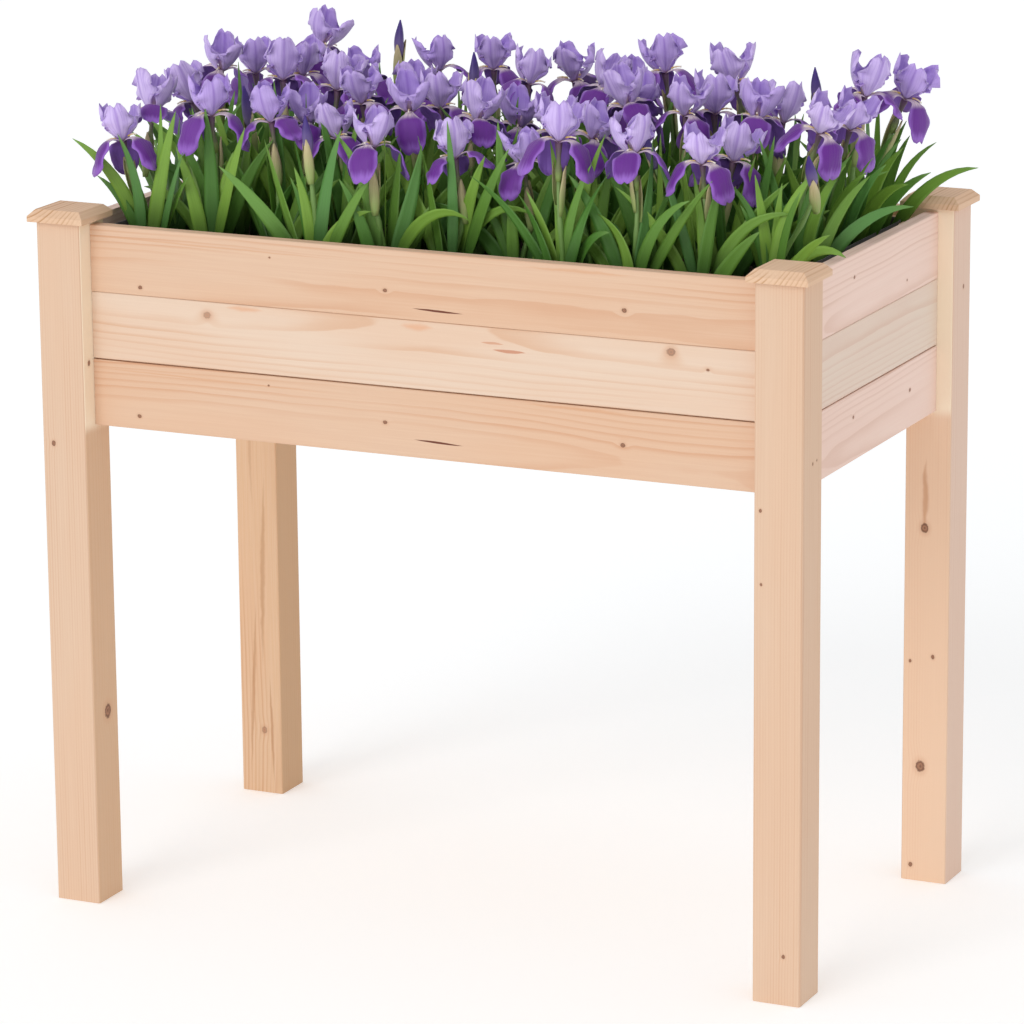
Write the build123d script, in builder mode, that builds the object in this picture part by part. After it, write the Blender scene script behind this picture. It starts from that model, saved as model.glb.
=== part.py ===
from build123d import *
import math
import os

# Raised garden planter on four square legs, with a lift-out planting of irises.
# Millimetres, +Z up. X runs along the planter and Y across it, from the front (-Y) to the back (+Y).
# The origin is on the ground, at the centre of the four feet.

# --- Clearances ---------------------------------------------------------------------------------
end_gap = 0.2  # between a piece of wood and the two that it is fitted between
joint_fit = 0.2  # around a tongue in its groove
bore_fit = 0.1  # radial, around a screw or a dowel
soft_gap = 0.3  # around the liner and the growing medium
liner_gap = 0.7  # between the liner and the box and caps, so that the planting lifts out

# --- Legs and caps ------------------------------------------------------------------------------
frame_length = 868.0  # over the outer faces of the legs, along X
frame_width = 480.0  # over the outer faces of the legs, along Y
leg_size = 52.0
leg_height = 749.0
leg_ease = 1.5  # chamfer along the legs' edges
cap_overhang = 7.0
cap_height = 13.0
cap_bevel = 7.0
dowel_radius = 5.0
dowel_length = 40.0
dowel_in_cap = 8.0

# --- Boards of the four walls -------------------------------------------------------------------
board_height = 71.4
board_thickness = 14.0
board_ease = 0.8
upper_seam = 0.3  # the joint between the upper and the middle board is shut tight
lower_seam = 1.5  # the joint between the middle and the lower board stands slightly open
tongue_thickness = 4.0
tongue_height = 5.0
rim_drop = 4.0  # from the top of a leg down to the top of the boards
long_wall_recess = 22.0  # from the legs' outer face in to the front and back boards
short_wall_recess = 18.0  # from the legs' outer face in to the end boards

# --- Battens, rails and floor -------------------------------------------------------------------
batten_width = 30.0
batten_drop = 10.0  # from the rim down to the top of the battens
rail_size = 20.0
bearer_width = 40.0
slat_count = 8
slat_thickness = 12.0
slat_gap = 7.0

# --- Screws -------------------------------------------------------------------------------------
screw_radius = 1.8
screw_head_radius = 3.6
screw_head_height = 2.1
screw_point = 4.0
board_bite = 10.0  # how far a screw goes into a board
leg_bite = 22.0
rail_bite = 13.0
bearer_bite = 30.0
crossing_offset = 10.0  # height between screws that cross inside a leg

# --- Liner and growing medium -------------------------------------------------------------------
liner_thickness = 1.5
liner_hem = 22.0  # of liner above the growing medium
medium_drop = 30.0  # from the rim down to the growing medium

# --- Irises -------------------------------------------------------------------------------------
column_spacing = 70.0  # the least there may be between plants along X
row_spacing = 70.0  # and along Y
column_margin = 30.0  # from the ends of the clear space inside the legs to the nearest plants
row_margin = 48.0
plane_pitch = 16.0  # neighbours stand in planes of their own, so that their leaves pass clear
planes_per_row = 4
leaf_setback = 7.0  # from a stem to the plane of its leaves
leaf_thickness = 2.5
leaf_width = 17.0
leaf_foot = 5.0  # width of a leaf at the ground
leaf_spacing = 6.5  # between the feet of neighbouring leaves
leaf_shoulder = 0.6  # height of a leaf's widest place, as a share of its whole height
leaf_clearance = 3.0  # below the blooms
leaf_leans = (-37, -19, 0, 19, 37)  # degrees from upright, towards +X
stem_radius = 3.0
bloom_height = 66.0
bloom_radius = 33.0
bloom_profile = ((0.15, 0.0), (1.0, 0.36), (0.8, 0.7), (0.24, 1.0))  # shares of radius and height
bud_height = 46.0
bud_profile = ((0.12, 0.0), (0.25, 0.45), (0.03, 1.0))
bud_cycle = 7  # one plant in this many carries a bud
bloom_low = 868.0  # top of the lowest bloom in the front row
bloom_row_rise = 9.0
bloom_step = 7.5
bloom_steps = 6

# --- Sizes that follow from those above ---------------------------------------------------------
half_length = frame_length / 2
half_width = frame_width / 2
panel_top = leg_height - rim_drop
upper_bottom = panel_top - board_height
middle_bottom = upper_bottom - upper_seam - board_height
panel_bottom = middle_bottom - lower_seam - board_height
slat_bottom = panel_bottom + rail_size
floor_top = slat_bottom + slat_thickness
medium_top = panel_top - medium_drop
clear_length = frame_length - 2 * leg_size
clear_width = frame_width - 2 * leg_size
batten_top = panel_top - batten_drop

os.makedirs("parts", exist_ok=True)


def keep(piece, name):
    """Labels a finished piece and writes its STEP file."""
    piece.part.label = name
    export_step(piece.part, f"parts/{name}.step")


def build_screw(length, fit=0.0):
    """A countersunk wood screw along +Z from its head's face, or with a fit the hole that it leaves."""
    with BuildPart() as screw:
        with BuildSketch(Plane.XZ):
            with BuildLine():
                Polyline(
                    (0, 0),
                    (screw_head_radius + fit, 0),
                    (screw_radius + fit, screw_head_height),
                    (screw_radius + fit, length - screw_point + fit),
                    (0, length + fit),
                    close=True,
                )
            make_face()
        revolve(axis=Axis.Z)
    return screw.part


def build_screws(seats, length):
    """A group of equal screws, one at each seat. A seat's Z axis points the way the screw goes in."""
    screw = build_screw(length)
    with BuildPart() as group:
        with Locations(*seats):
            add(screw)
    return group


def drill(seats, length):
    """Cuts the holes of the screws at these seats from the part that is being built."""
    with Locations(*seats):
        add(build_screw(length, fit=bore_fit), mode=Mode.SUBTRACT)


class Wall:
    """One wall of the box, with its own axes: along the wall, up, and out of the box.

    A depth is measured outwards from the legs' outer face, so the wall's pieces have negative depths.
    """

    def __init__(self, name, facing, half_frame, clear_span, recess):
        self.name = name
        self.out = Vector(*facing)
        self.along = Vector(0, 0, 1).cross(self.out)
        self.half_frame = half_frame
        self.clear_span = clear_span
        self.recess = recess
        self.board_back = -recess - board_thickness
        self.batten_thickness = leg_size - recess - board_thickness

    def point(self, along, height, depth):
        """A place on the wall, in the object's frame."""
        return self.along * along + self.out * (self.half_frame + depth) + Vector(0, 0, height)

    def plane(self, along, height, depth):
        """A plane that faces out of the wall, with its X along the wall and its Y up."""
        return Plane(origin=self.point(along, height, depth), x_dir=self.along, z_dir=self.out)

    def batten_centre(self, end):
        return end * (self.clear_span - batten_width) / 2

    def board_screw_seats(self, end, bottom, top):
        """Two screws through the batten at one end of the wall, into the board between two heights."""
        spread = (top - bottom) / 4
        middle = (top + bottom) / 2
        return [
            self.plane(self.batten_centre(end), middle + side * spread, -leg_size)
            for side in (-1, 1)
        ]

    def leg_screw_seats(self, end):
        """Three screws from the side of a batten into the leg beside it, clear of the other screws."""
        shift = crossing_offset if self.out.X else 0.0
        first = (middle_bottom + upper_bottom - upper_seam) / 2
        second = (upper_bottom + panel_top) / 2
        third = middle_bottom - lower_seam
        start = end * (self.clear_span / 2 - batten_width)
        depth = -leg_size + self.batten_thickness / 2
        return [
            Plane(
                origin=self.point(start, height + shift, depth),
                x_dir=(0, 0, 1),
                z_dir=self.along * end,
            )
            for height in (first, second, third)
        ]


front = Wall("front", (0, -1, 0), half_width, clear_length, long_wall_recess)
back = Wall("back", (0, 1, 0), half_width, clear_length, long_wall_recess)
left = Wall("left", (-1, 0, 0), half_length, clear_width, short_wall_recess)
right = Wall("right", (1, 0, 0), half_length, clear_width, short_wall_recess)
walls = (front, back, left, right)

# The boards of a wall: name, bottom, whether it has a tongue on top, whether it has a groove below.
board_levels = (
    ("upper", upper_bottom, False, True),
    ("middle", middle_bottom, True, True),
    ("lower", panel_bottom, True, False),
)


def held_stretch(bottom):
    """The stretch of a board that a batten covers, which starts at the floor on the lower board."""
    return max(bottom, floor_top), bottom + board_height


# --- Floor layout -------------------------------------------------------------------------------
slat_pitch = (clear_length - 2 * end_gap + slat_gap) / slat_count
slat_width = slat_pitch - slat_gap
slat_centres = [(i - (slat_count - 1) / 2) * slat_pitch for i in range(slat_count)]
rail_face = half_width + front.board_back  # Y of the inner face of the long walls' boards
slat_length = 2 * (rail_face - end_gap)
rail_centre = rail_face - rail_size / 2
rail_middle = panel_bottom + rail_size / 2
rail_screw_gaps = (1, 3, 5, 7)  # a rail's screws stand below these gaps between slats
end_rail_screws = (-0.4, -0.15, 0.15, 0.4)  # shares of the clear width
bearer_screw_spread = bearer_width / 4

slat_screw_length = slat_thickness + rail_bite
rail_screw_length = rail_size + board_bite
bearer_screw_length = right.batten_thickness + bearer_bite


def down(x, y, z):
    """A seat for a screw that goes straight down."""
    return Plane(origin=(x, y, z), x_dir=(1, 0, 0), z_dir=(0, 0, -1))


slat_screw_rows = {"front": -rail_centre, "middle": 0.0, "back": rail_centre}
slat_screw_seats = [
    down(x, y, floor_top) for x in slat_centres for y in slat_screw_rows.values()
]


def rail_screw_seats(wall):
    """Screws from inside the box, through a floor rail and into the lower board."""
    if wall.out.X:
        return [
            wall.plane(share * clear_width, (panel_bottom + floor_top) / 2, -leg_size)
            for share in end_rail_screws
        ]
    gaps = [(slat_centres[i - 1] + slat_centres[i]) / 2 for i in rail_screw_gaps]
    return [wall.plane(x, rail_middle, wall.board_back - rail_size) for x in gaps]


def rail_screw_reach(wall):
    """How long a rail's screws are: the rail's own thickness and the bite in the board."""
    return (wall.batten_thickness if wall.out.X else rail_size) + board_bite


def bearer_screw_seats(wall):
    """Two screws from the outer face of an end rail into the end of the bearer."""
    return [
        Plane(
            origin=wall.point(side * bearer_screw_spread, rail_middle, wall.board_back),
            x_dir=(0, 0, 1),
            z_dir=-wall.out,
        )
        for side in (-1, 1)
    ]


# --- Legs, caps and dowels ----------------------------------------------------------------------
leg_centre_x = half_length - leg_size / 2
leg_centre_y = half_width - leg_size / 2
corners = {
    "front_left": (-1, -1, front, left),
    "front_right": (1, -1, front, right),
    "back_right": (1, 1, back, right),
    "back_left": (-1, 1, back, left),
}


def end_towards(wall, x, y):
    """Which end of a wall a corner is at: -1 or 1 along the wall's own axis."""
    return round(Vector(x, y, 0).dot(wall.along))


for corner, (side_x, side_y, long_wall, short_wall) in corners.items():
    centre = (side_x * leg_centre_x, side_y * leg_centre_y)

    with BuildPart() as leg:
        with BuildSketch(Plane.XY):
            with Locations(centre):
                Rectangle(leg_size, leg_size)
        extrude(amount=leg_height)
        chamfer(leg.edges().filter_by(Axis.Z), length=leg_ease)
        with Locations((*centre, leg_height)):
            Hole(radius=dowel_radius + bore_fit, depth=dowel_length - dowel_in_cap + bore_fit)
        for wall in (long_wall, short_wall):
            drill(
                wall.leg_screw_seats(end_towards(wall, side_x, side_y)),
                batten_width + leg_bite,
            )
    keep(leg, f"leg_{corner}")

    with BuildPart() as cap:
        with BuildSketch(Plane.XY.offset(leg_height)):
            with Locations(centre):
                Rectangle(leg_size + 2 * cap_overhang, leg_size + 2 * cap_overhang)
        extrude(amount=cap_height)
        chamfer(cap.edges().group_by(Axis.Z)[-1], length=cap_bevel)
        with Locations(down(*centre, leg_height)):
            Hole(radius=dowel_radius + bore_fit, depth=dowel_in_cap + bore_fit)
    keep(cap, f"cap_{corner}")

with BuildPart() as cap_dowels:
    with BuildSketch(Plane.XY.offset(leg_height - dowel_length + dowel_in_cap)):
        with GridLocations(2 * leg_centre_x, 2 * leg_centre_y, 2, 2):
            Circle(dowel_radius)
    extrude(amount=dowel_length)
keep(cap_dowels, "cap_dowels")

# --- Boards and battens -------------------------------------------------------------------------
for wall in walls:
    for level, bottom, has_tongue, has_groove in board_levels:
        length = wall.clear_span - 2 * end_gap
        section = Plane(
            origin=wall.point(-length / 2, bottom, -wall.recess),
            x_dir=-wall.out,
            z_dir=wall.along,
        )
        with BuildPart() as board:
            with BuildSketch(section) as outline:
                with Locations((board_thickness / 2, board_height / 2)):
                    Rectangle(board_thickness, board_height)
                chamfer(outline.vertices().group_by(Axis.X)[0], length=board_ease)
                if has_tongue:
                    with Locations((board_thickness / 2, board_height + tongue_height / 2)):
                        Rectangle(tongue_thickness, tongue_height)
                if has_groove:
                    with Locations((board_thickness / 2, 0)):
                        Rectangle(
                            tongue_thickness + 2 * joint_fit,
                            2 * (tongue_height + joint_fit),
                            mode=Mode.SUBTRACT,
                        )
            extrude(amount=length)
            for end in (-1, 1):
                drill(
                    wall.board_screw_seats(end, *held_stretch(bottom)),
                    wall.batten_thickness + board_bite,
                )
            if level == "lower":
                drill(rail_screw_seats(wall), rail_screw_reach(wall))
        keep(board, f"board_{wall.name}_{level}")

    for number, end in enumerate((-1, 1), start=1):
        batten_bottom = floor_top + end_gap
        batten_middle = (batten_bottom + batten_top) / 2
        with BuildPart() as batten:
            with BuildSketch(wall.plane(wall.batten_centre(end), batten_middle, -leg_size)):
                Rectangle(batten_width, batten_top - batten_bottom)
            extrude(amount=wall.batten_thickness)
            for _, bottom, _, _ in board_levels:
                drill(
                    wall.board_screw_seats(end, *held_stretch(bottom)),
                    wall.batten_thickness + board_bite,
                )
            drill(wall.leg_screw_seats(end), batten_width + leg_bite)
        keep(batten, f"batten_{wall.name}_{number}")

for name, wall_pair in {"long": (front, back), "end": (left, right)}.items():
    board_seats = [
        seat
        for wall in wall_pair
        for end in (-1, 1)
        for _, bottom, _, _ in board_levels
        for seat in wall.board_screw_seats(end, *held_stretch(bottom))
    ]
    keep(
        build_screws(board_seats, wall_pair[0].batten_thickness + board_bite),
        f"board_screws_{name}",
    )

leg_seats = [seat for wall in walls for end in (-1, 1) for seat in wall.leg_screw_seats(end)]
keep(build_screws(leg_seats, batten_width + leg_bite), "leg_screws")

# --- Floor: rails, bearer and slats -------------------------------------------------------------
for wall in (front, back):
    row = slat_screw_rows[wall.name]
    with BuildPart() as rail:
        with BuildSketch(wall.plane(0, rail_middle, wall.board_back - rail_size)):
            Rectangle(wall.clear_span - 2 * end_gap, rail_size)
        extrude(amount=rail_size)
        drill(rail_screw_seats(wall), rail_screw_reach(wall))
        drill([down(x, row, floor_top) for x in slat_centres], slat_screw_length)
    keep(rail, f"floor_rail_{wall.name}")

for wall in (left, right):
    with BuildPart() as rail:
        with BuildSketch(wall.plane(0, (panel_bottom + floor_top) / 2, -leg_size)):
            Rectangle(wall.clear_span - 2 * end_gap, floor_top - panel_bottom)
        extrude(amount=wall.batten_thickness)
        drill(rail_screw_seats(wall), rail_screw_reach(wall))
        drill(bearer_screw_seats(wall), bearer_screw_length)
    keep(rail, f"floor_rail_{wall.name}")

with BuildPart() as bearer:
    with BuildSketch(Plane.XY.offset(panel_bottom)):
        Rectangle(clear_length - 2 * end_gap, bearer_width)
    extrude(amount=rail_size)
    drill([down(x, 0, floor_top) for x in slat_centres], slat_screw_length)
    for wall in (left, right):
        drill(bearer_screw_seats(wall), bearer_screw_length)
keep(bearer, "floor_bearer")

for number, x in enumerate(slat_centres, start=1):
    with BuildPart() as slat:
        with BuildSketch(Plane.XY.offset(slat_bottom)):
            with Locations((x, 0)):
                Rectangle(slat_width, slat_length)
        extrude(amount=slat_thickness)
        drill([down(x, y, floor_top) for y in slat_screw_rows.values()], slat_screw_length)
    keep(slat, f"floor_slat_{number}")

keep(build_screws(slat_screw_seats, slat_screw_length), "slat_screws")
bearer_seats = [seat for wall in (left, right) for seat in bearer_screw_seats(wall)]
keep(build_screws(bearer_seats, bearer_screw_length), "bearer_screws")
for name, wall_pair in {"long": (front, back), "end": (left, right)}.items():
    rail_seats = [seat for wall in wall_pair for seat in rail_screw_seats(wall)]
    keep(build_screws(rail_seats, rail_screw_reach(wall_pair[0])), f"rail_screws_{name}")

# --- Liner and growing medium -------------------------------------------------------------------
liner_length = clear_length - 2 * liner_gap
liner_width = clear_width - 2 * liner_gap
liner_bottom = floor_top + soft_gap
# The corners are round enough to pass the caps, which stand over the corners of the box.
corner_intrusion = math.sqrt(2) * (cap_overhang - liner_gap)
corner_radius = (corner_intrusion + liner_gap) / (math.sqrt(2) - 1)
medium_inset = liner_thickness + soft_gap
medium_bottom = liner_bottom + medium_inset

with BuildPart() as liner:
    with BuildSketch(Plane.XY.offset(liner_bottom)):
        RectangleRounded(liner_length, liner_width, corner_radius)
    extrude(amount=medium_top + liner_hem - liner_bottom)
    with BuildSketch(Plane.XY.offset(liner_bottom + liner_thickness)):
        RectangleRounded(
            liner_length - 2 * liner_thickness,
            liner_width - 2 * liner_thickness,
            corner_radius - liner_thickness,
        )
    extrude(amount=medium_top + liner_hem - liner_bottom, mode=Mode.SUBTRACT)
keep(liner, "liner")

with BuildPart() as growing_medium:
    with BuildSketch(Plane.XY.offset(medium_bottom)):
        RectangleRounded(
            liner_length - 2 * medium_inset,
            liner_width - 2 * medium_inset,
            corner_radius - medium_inset,
        )
    extrude(amount=medium_top - medium_bottom)
keep(growing_medium, "growing_medium")


# --- Irises -------------------------------------------------------------------------------------
plant_columns = 1 + int((clear_length - 2 * column_margin) // column_spacing)
plant_rows = 1 + int((clear_width - 2 * row_margin) // row_spacing)
column_pitch = (clear_length - 2 * column_margin) / (plant_columns - 1)
row_pitch = (clear_width - 2 * row_margin) / (plant_rows - 1)
outer_foot = (len(leaf_leans) - 1) / 2 * leaf_spacing
# A leaf beside an end wall stays inside the liner and the battens up to their tops.
end_room = column_margin - liner_gap - medium_inset - outer_foot - leaf_foot
end_lean = math.degrees(math.atan2(end_room, max(liner_hem, batten_top - medium_top)))


class Plant:
    """One iris: a stem with a bloom or a bud on it, and a flat fan of sword leaves in front of it."""

    def __init__(self, column, row):
        self.column = column
        self.row = row
        self.x = (column - (plant_columns - 1) / 2) * column_pitch
        # The pattern starts one plane in, which keeps the first plant out of the liner's round corner.
        plane = (column + 1) % planes_per_row
        plane_shift = (plane - (planes_per_row - 1) / 2) * plane_pitch
        self.y = (row - (plant_rows - 1) / 2) * row_pitch + plane_shift
        step = (5 * column + 3 * row) % bloom_steps
        self.top = bloom_low + row * bloom_row_rise + step * bloom_step
        self.is_bud = (column + 2 * row) % bud_cycle == 3
        self.head_bottom = self.top - (bud_height if self.is_bud else bloom_height)

    def leaf_ceiling(self, plants):
        """The height that the leaves stay under: the lowest bloom or bud that they could reach."""
        near = (
            plant.head_bottom
            for plant in plants
            if abs(plant.column - self.column) <= 2 and abs(plant.row - self.row) <= 1
        )
        return min(near) - leaf_clearance

    def leaf_leans(self):
        """The leans of this plant's leaves, closed up on the side of a wall."""
        closed = end_lean / max(leaf_leans)
        low = closed if self.column == 0 else 1.0
        high = closed if self.column == plant_columns - 1 else 1.0
        return [lean * (low if lean < 0 else high) for lean in leaf_leans]


plants = [Plant(column, row) for row in range(plant_rows) for column in range(plant_columns)]


def build_heads(profile, height, stands):
    """Round flower heads on top of the stems, from shares of the bloom's radius and their height."""
    with BuildPart() as head:
        with BuildSketch(Plane.XZ):
            with BuildLine():
                Polyline(
                    (0, 0),
                    *[(radius * bloom_radius, share * height) for radius, share in profile],
                    (0, height),
                    close=True,
                )
            make_face()
        revolve(axis=Axis.Z)
    with BuildPart() as heads:
        with Locations(*stands):
            add(head.part)
    return heads


blooms = [(plant.x, plant.y, plant.head_bottom) for plant in plants if not plant.is_bud]
keep(build_heads(bloom_profile, bloom_height, blooms), "iris_blooms")
buds = [(plant.x, plant.y, plant.head_bottom) for plant in plants if plant.is_bud]
keep(build_heads(bud_profile, bud_height, buds), "iris_buds")

with BuildPart() as iris_stems:
    for plant in plants:
        with BuildSketch(Plane.XY.offset(medium_top)):
            with Locations((plant.x, plant.y)):
                Circle(stem_radius)
        extrude(amount=plant.head_bottom - medium_top)
keep(iris_stems, "iris_stems")

with BuildPart() as iris_leaves:
    for plant in plants:
        rise = plant.leaf_ceiling(plants) - medium_top
        fan_plane = Plane(
            origin=(plant.x, plant.y - leaf_setback + leaf_thickness / 2, medium_top),
            x_dir=(1, 0, 0),
            z_dir=(0, -1, 0),
        )
        with BuildSketch(fan_plane):
            for number, lean in enumerate(plant.leaf_leans()):
                foot = (number - (len(leaf_leans) - 1) / 2) * leaf_spacing
                reach = rise * math.tan(math.radians(lean))
                shoulder = foot + leaf_shoulder * reach
                with BuildLine():
                    Polyline(
                        (foot - leaf_foot / 2, 0),
                        (shoulder - leaf_width / 2, leaf_shoulder * rise),
                        (foot + reach, rise),
                        (shoulder + leaf_width / 2, leaf_shoulder * rise),
                        (foot + leaf_foot / 2, 0),
                        close=True,
                    )
                make_face()
        extrude(amount=leaf_thickness)
keep(iris_leaves, "iris_leaves")
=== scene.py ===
"""A raised fir planter on four legs, planted with purple irises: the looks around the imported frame."""

import logging
import math
from dataclasses import dataclass, field
from enum import Enum
from typing import Iterable, Sequence

import bpy
import numpy as np
from mathutils import Euler, Matrix, Vector


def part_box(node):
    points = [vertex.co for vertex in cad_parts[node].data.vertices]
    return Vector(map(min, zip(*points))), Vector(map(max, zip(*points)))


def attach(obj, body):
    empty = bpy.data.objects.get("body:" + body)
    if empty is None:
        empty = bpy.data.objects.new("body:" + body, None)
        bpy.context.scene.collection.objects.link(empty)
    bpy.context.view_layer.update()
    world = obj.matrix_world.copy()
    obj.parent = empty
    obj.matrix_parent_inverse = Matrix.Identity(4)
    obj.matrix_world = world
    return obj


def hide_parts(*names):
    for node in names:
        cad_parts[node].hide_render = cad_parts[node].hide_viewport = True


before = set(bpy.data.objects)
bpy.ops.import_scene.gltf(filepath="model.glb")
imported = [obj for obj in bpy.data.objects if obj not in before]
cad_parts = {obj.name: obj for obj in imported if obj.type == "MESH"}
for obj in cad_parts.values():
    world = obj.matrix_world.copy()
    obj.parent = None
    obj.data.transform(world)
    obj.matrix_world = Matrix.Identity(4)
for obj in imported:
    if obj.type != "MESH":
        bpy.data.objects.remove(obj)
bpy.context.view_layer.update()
PLANTER = "planter"
PLANTING = "planting"
MM = 0.001
log = logging.getLogger("raised_planter")

Colour = tuple[float, float, float, float]
WHITE: Colour = (1.0, 1.0, 1.0, 1.0)
Shell = tuple[np.ndarray, list[tuple[int, ...]], dict[str, np.ndarray]]


def tone(red: int, green: int, blue: int) -> Colour:
    """Turns a display colour into the linear colour that the shaders take.

    Args:
        red, green, blue: display values from 0 to 255.

    Returns:
        The linear colour with full alpha.
    """
    shares = [value / 255 for value in (red, green, blue)]
    linear = [s / 12.92 if s <= 0.04045 else ((s + 0.055) / 1.055) ** 2.4 for s in shares]
    return (*linear, 1.0)


def linked(name: str, data: bpy.types.ID) -> bpy.types.Object:
    """Makes an object of the data, at the origin, and puts it in the scene."""
    made = bpy.data.objects.new(name, data)
    bpy.context.scene.collection.objects.link(made)
    return made


def heading(azimuth: float, elevation: float) -> Vector:
    """Returns the way from the planter towards a camera or a light at these angles, in degrees."""
    a, e = math.radians(azimuth), math.radians(elevation)
    return Vector((math.sin(a) * math.cos(e), -math.cos(a) * math.cos(e), math.sin(e)))


# ---------------------------------------------------------------- node trees


class Graph:
    """Adds nodes to one shader or geometry tree and joins their sockets."""

    def __init__(self, tree: bpy.types.NodeTree) -> None:
        """Keeps the tree that the nodes are added to."""
        self.tree = tree

    def add(self, kind: str, sockets: dict | None = None, **settings: object) -> bpy.types.Node:
        """Adds a node.

        Args:
            kind: the node's type.
            sockets: what each input socket takes, a number, a colour or another node's output.
            settings: the node's own properties.

        Returns:
            The new node.
        """
        node = self.tree.nodes.new(kind)
        for name, value in settings.items():
            setattr(node, name, value)
        for name, value in (sockets or {}).items():
            self.feed(node.inputs[name], value)
        return node

    def feed(self, socket: bpy.types.NodeSocket, value: object) -> None:
        """Links an output to the socket, or sets the socket's own value."""
        if isinstance(value, bpy.types.NodeSocket):
            self.tree.links.new(value, socket)
        else:
            socket.default_value = value

    def math(self, operation: str, *values: object) -> bpy.types.NodeSocket:
        """Adds a Math node on one to three values and returns its output."""
        return self.add("ShaderNodeMath", dict(enumerate(values)), operation=operation).outputs[0]

    def sum(self, first: object, second: object) -> bpy.types.NodeSocket:
        """Returns the two values added up."""
        return self.math("ADD", first, second)

    def less(self, first: object, second: object) -> bpy.types.NodeSocket:
        """Returns the first value less the second."""
        return self.math("SUBTRACT", first, second)

    def times(self, first: object, second: object) -> bpy.types.NodeSocket:
        """Returns the two values multiplied."""
        return self.math("MULTIPLY", first, second)

    def line(self, value: object, slope: object, start: object) -> bpy.types.NodeSocket:
        """Returns the value multiplied by the slope, added to the start."""
        return self.math("MULTIPLY_ADD", value, slope, start)

    def length(self, first: object, second: object) -> bpy.types.NodeSocket:
        """Returns the length of a flat vector with these two parts."""
        return self.math("SQRT", self.sum(self.times(first, first), self.times(second, second)))

    def smooth(self, value: object, low: object, high: object) -> bpy.types.NodeSocket:
        """Returns a soft step of the value, from 0 at low to 1 at high."""
        sockets = {"Value": value, "From Min": low, "From Max": high}
        return self.add("ShaderNodeMapRange", sockets, interpolation_type="SMOOTHSTEP").outputs[0]

    def mix(self, factor: object, first: object, second: object, blend: str = "MIX") -> bpy.types.NodeSocket:
        """Returns the two colours mixed by the factor."""
        sockets = {0: factor, 6: first, 7: second}
        return self.add("ShaderNodeMix", sockets, data_type="RGBA", blend_type=blend).outputs[2]

    def tint(self, mask: object, strength: object, colour: object, other: object) -> bpy.types.NodeSocket:
        """Returns the colour, going to the other one where the mask is, at the given strength."""
        return self.mix(self.times(mask, strength), colour, other)

    def split(self, vector: object) -> list[bpy.types.NodeSocket]:
        """Returns the vector's three parts."""
        return list(self.add("ShaderNodeSeparateXYZ", {0: vector}).outputs)

    def join(self, *parts: object) -> bpy.types.NodeSocket:
        """Returns the vector of three parts."""
        return self.add("ShaderNodeCombineXYZ", dict(enumerate(parts))).outputs[0]

    def stretch(self, vector: object, along: float, across: float) -> bpy.types.NodeSocket:
        """Returns the vector multiplied by one number along X and by another along Y and Z."""
        sockets = {0: vector, 1: (along, across, across)}
        return self.add("ShaderNodeVectorMath", sockets, operation="MULTIPLY").outputs[0]

    def noise(self, vector: object, scale: float, seed: object = 0.0, detail: float = 2.0,
              roughness: float = 0.5) -> bpy.types.NodeSocket:
        """Returns a noise value of about 0 to 1.

        Args:
            vector: where the noise is read.
            scale: waves in a metre.
            seed: picks one noise out of many.
            detail: how many finer octaves it has.
            roughness: how strong the finer octaves are.

        Returns:
            The noise value.
        """
        sockets = {"Vector": vector, "W": seed, "Scale": scale, "Detail": detail, "Roughness": roughness}
        return self.add("ShaderNodeTexNoise", sockets, noise_dimensions="4D").outputs[0]

    def place(self) -> bpy.types.NodeSocket:
        """Returns the place on the object."""
        return self.add("ShaderNodeTexCoord").outputs["Object"]

    def readings(self, *names: str) -> list[bpy.types.NodeSocket]:
        """Returns the values of the mesh attributes of those names."""
        return [self.add("ShaderNodeAttribute", attribute_name=name).outputs["Fac"] for name in names]

    def veins(self, along: object, across: object, tint: object, counts: Sequence[float]
              ) -> bpy.types.NodeSocket:
        """Returns a vector for noise that runs along a petal or a leaf.

        Args:
            along, across: the place on it.
            tint: what makes each petal or leaf differ.
            counts: the waves along and across it.

        Returns:
            The vector.
        """
        return self.join(self.times(along, counts[0]), self.times(across, counts[1]), tint)

    def bump(self, shader: bpy.types.Node, strength: float, distance: float, height: object) -> None:
        """Raises the shader's surface by the height."""
        sockets = {"Strength": strength, "Distance": distance, "Height": height}
        self.feed(shader.inputs["Normal"], self.add("ShaderNodeBump", sockets).outputs[0])

    def dress(self, shader: bpy.types.Node, colour: object, roughness: object, **others: object) -> None:
        """Feeds a shader.

        Args:
            shader: the Principled shader.
            colour: its base colour.
            roughness: its roughness.
            others: its other inputs, named as they are, with _ for a space.
        """
        for name, value in {"Base Color": colour, "Roughness": roughness, **others}.items():
            self.feed(shader.inputs[name.replace("_", " ")], value)

    def group(self, tree: bpy.types.NodeTree, **sockets: object) -> dict[str, bpy.types.NodeSocket]:
        """Places a node group.

        Args:
            tree: the group's tree.
            sockets: what its inputs take, named as the inputs are, with _ for a space.

        Returns:
            The group's outputs by name.
        """
        node = self.add("ShaderNodeGroup", node_tree=tree)
        for name, value in sockets.items():
            self.feed(node.inputs[name.replace("_", " ").title()], value)
        return {output.name: output for output in node.outputs}


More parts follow.
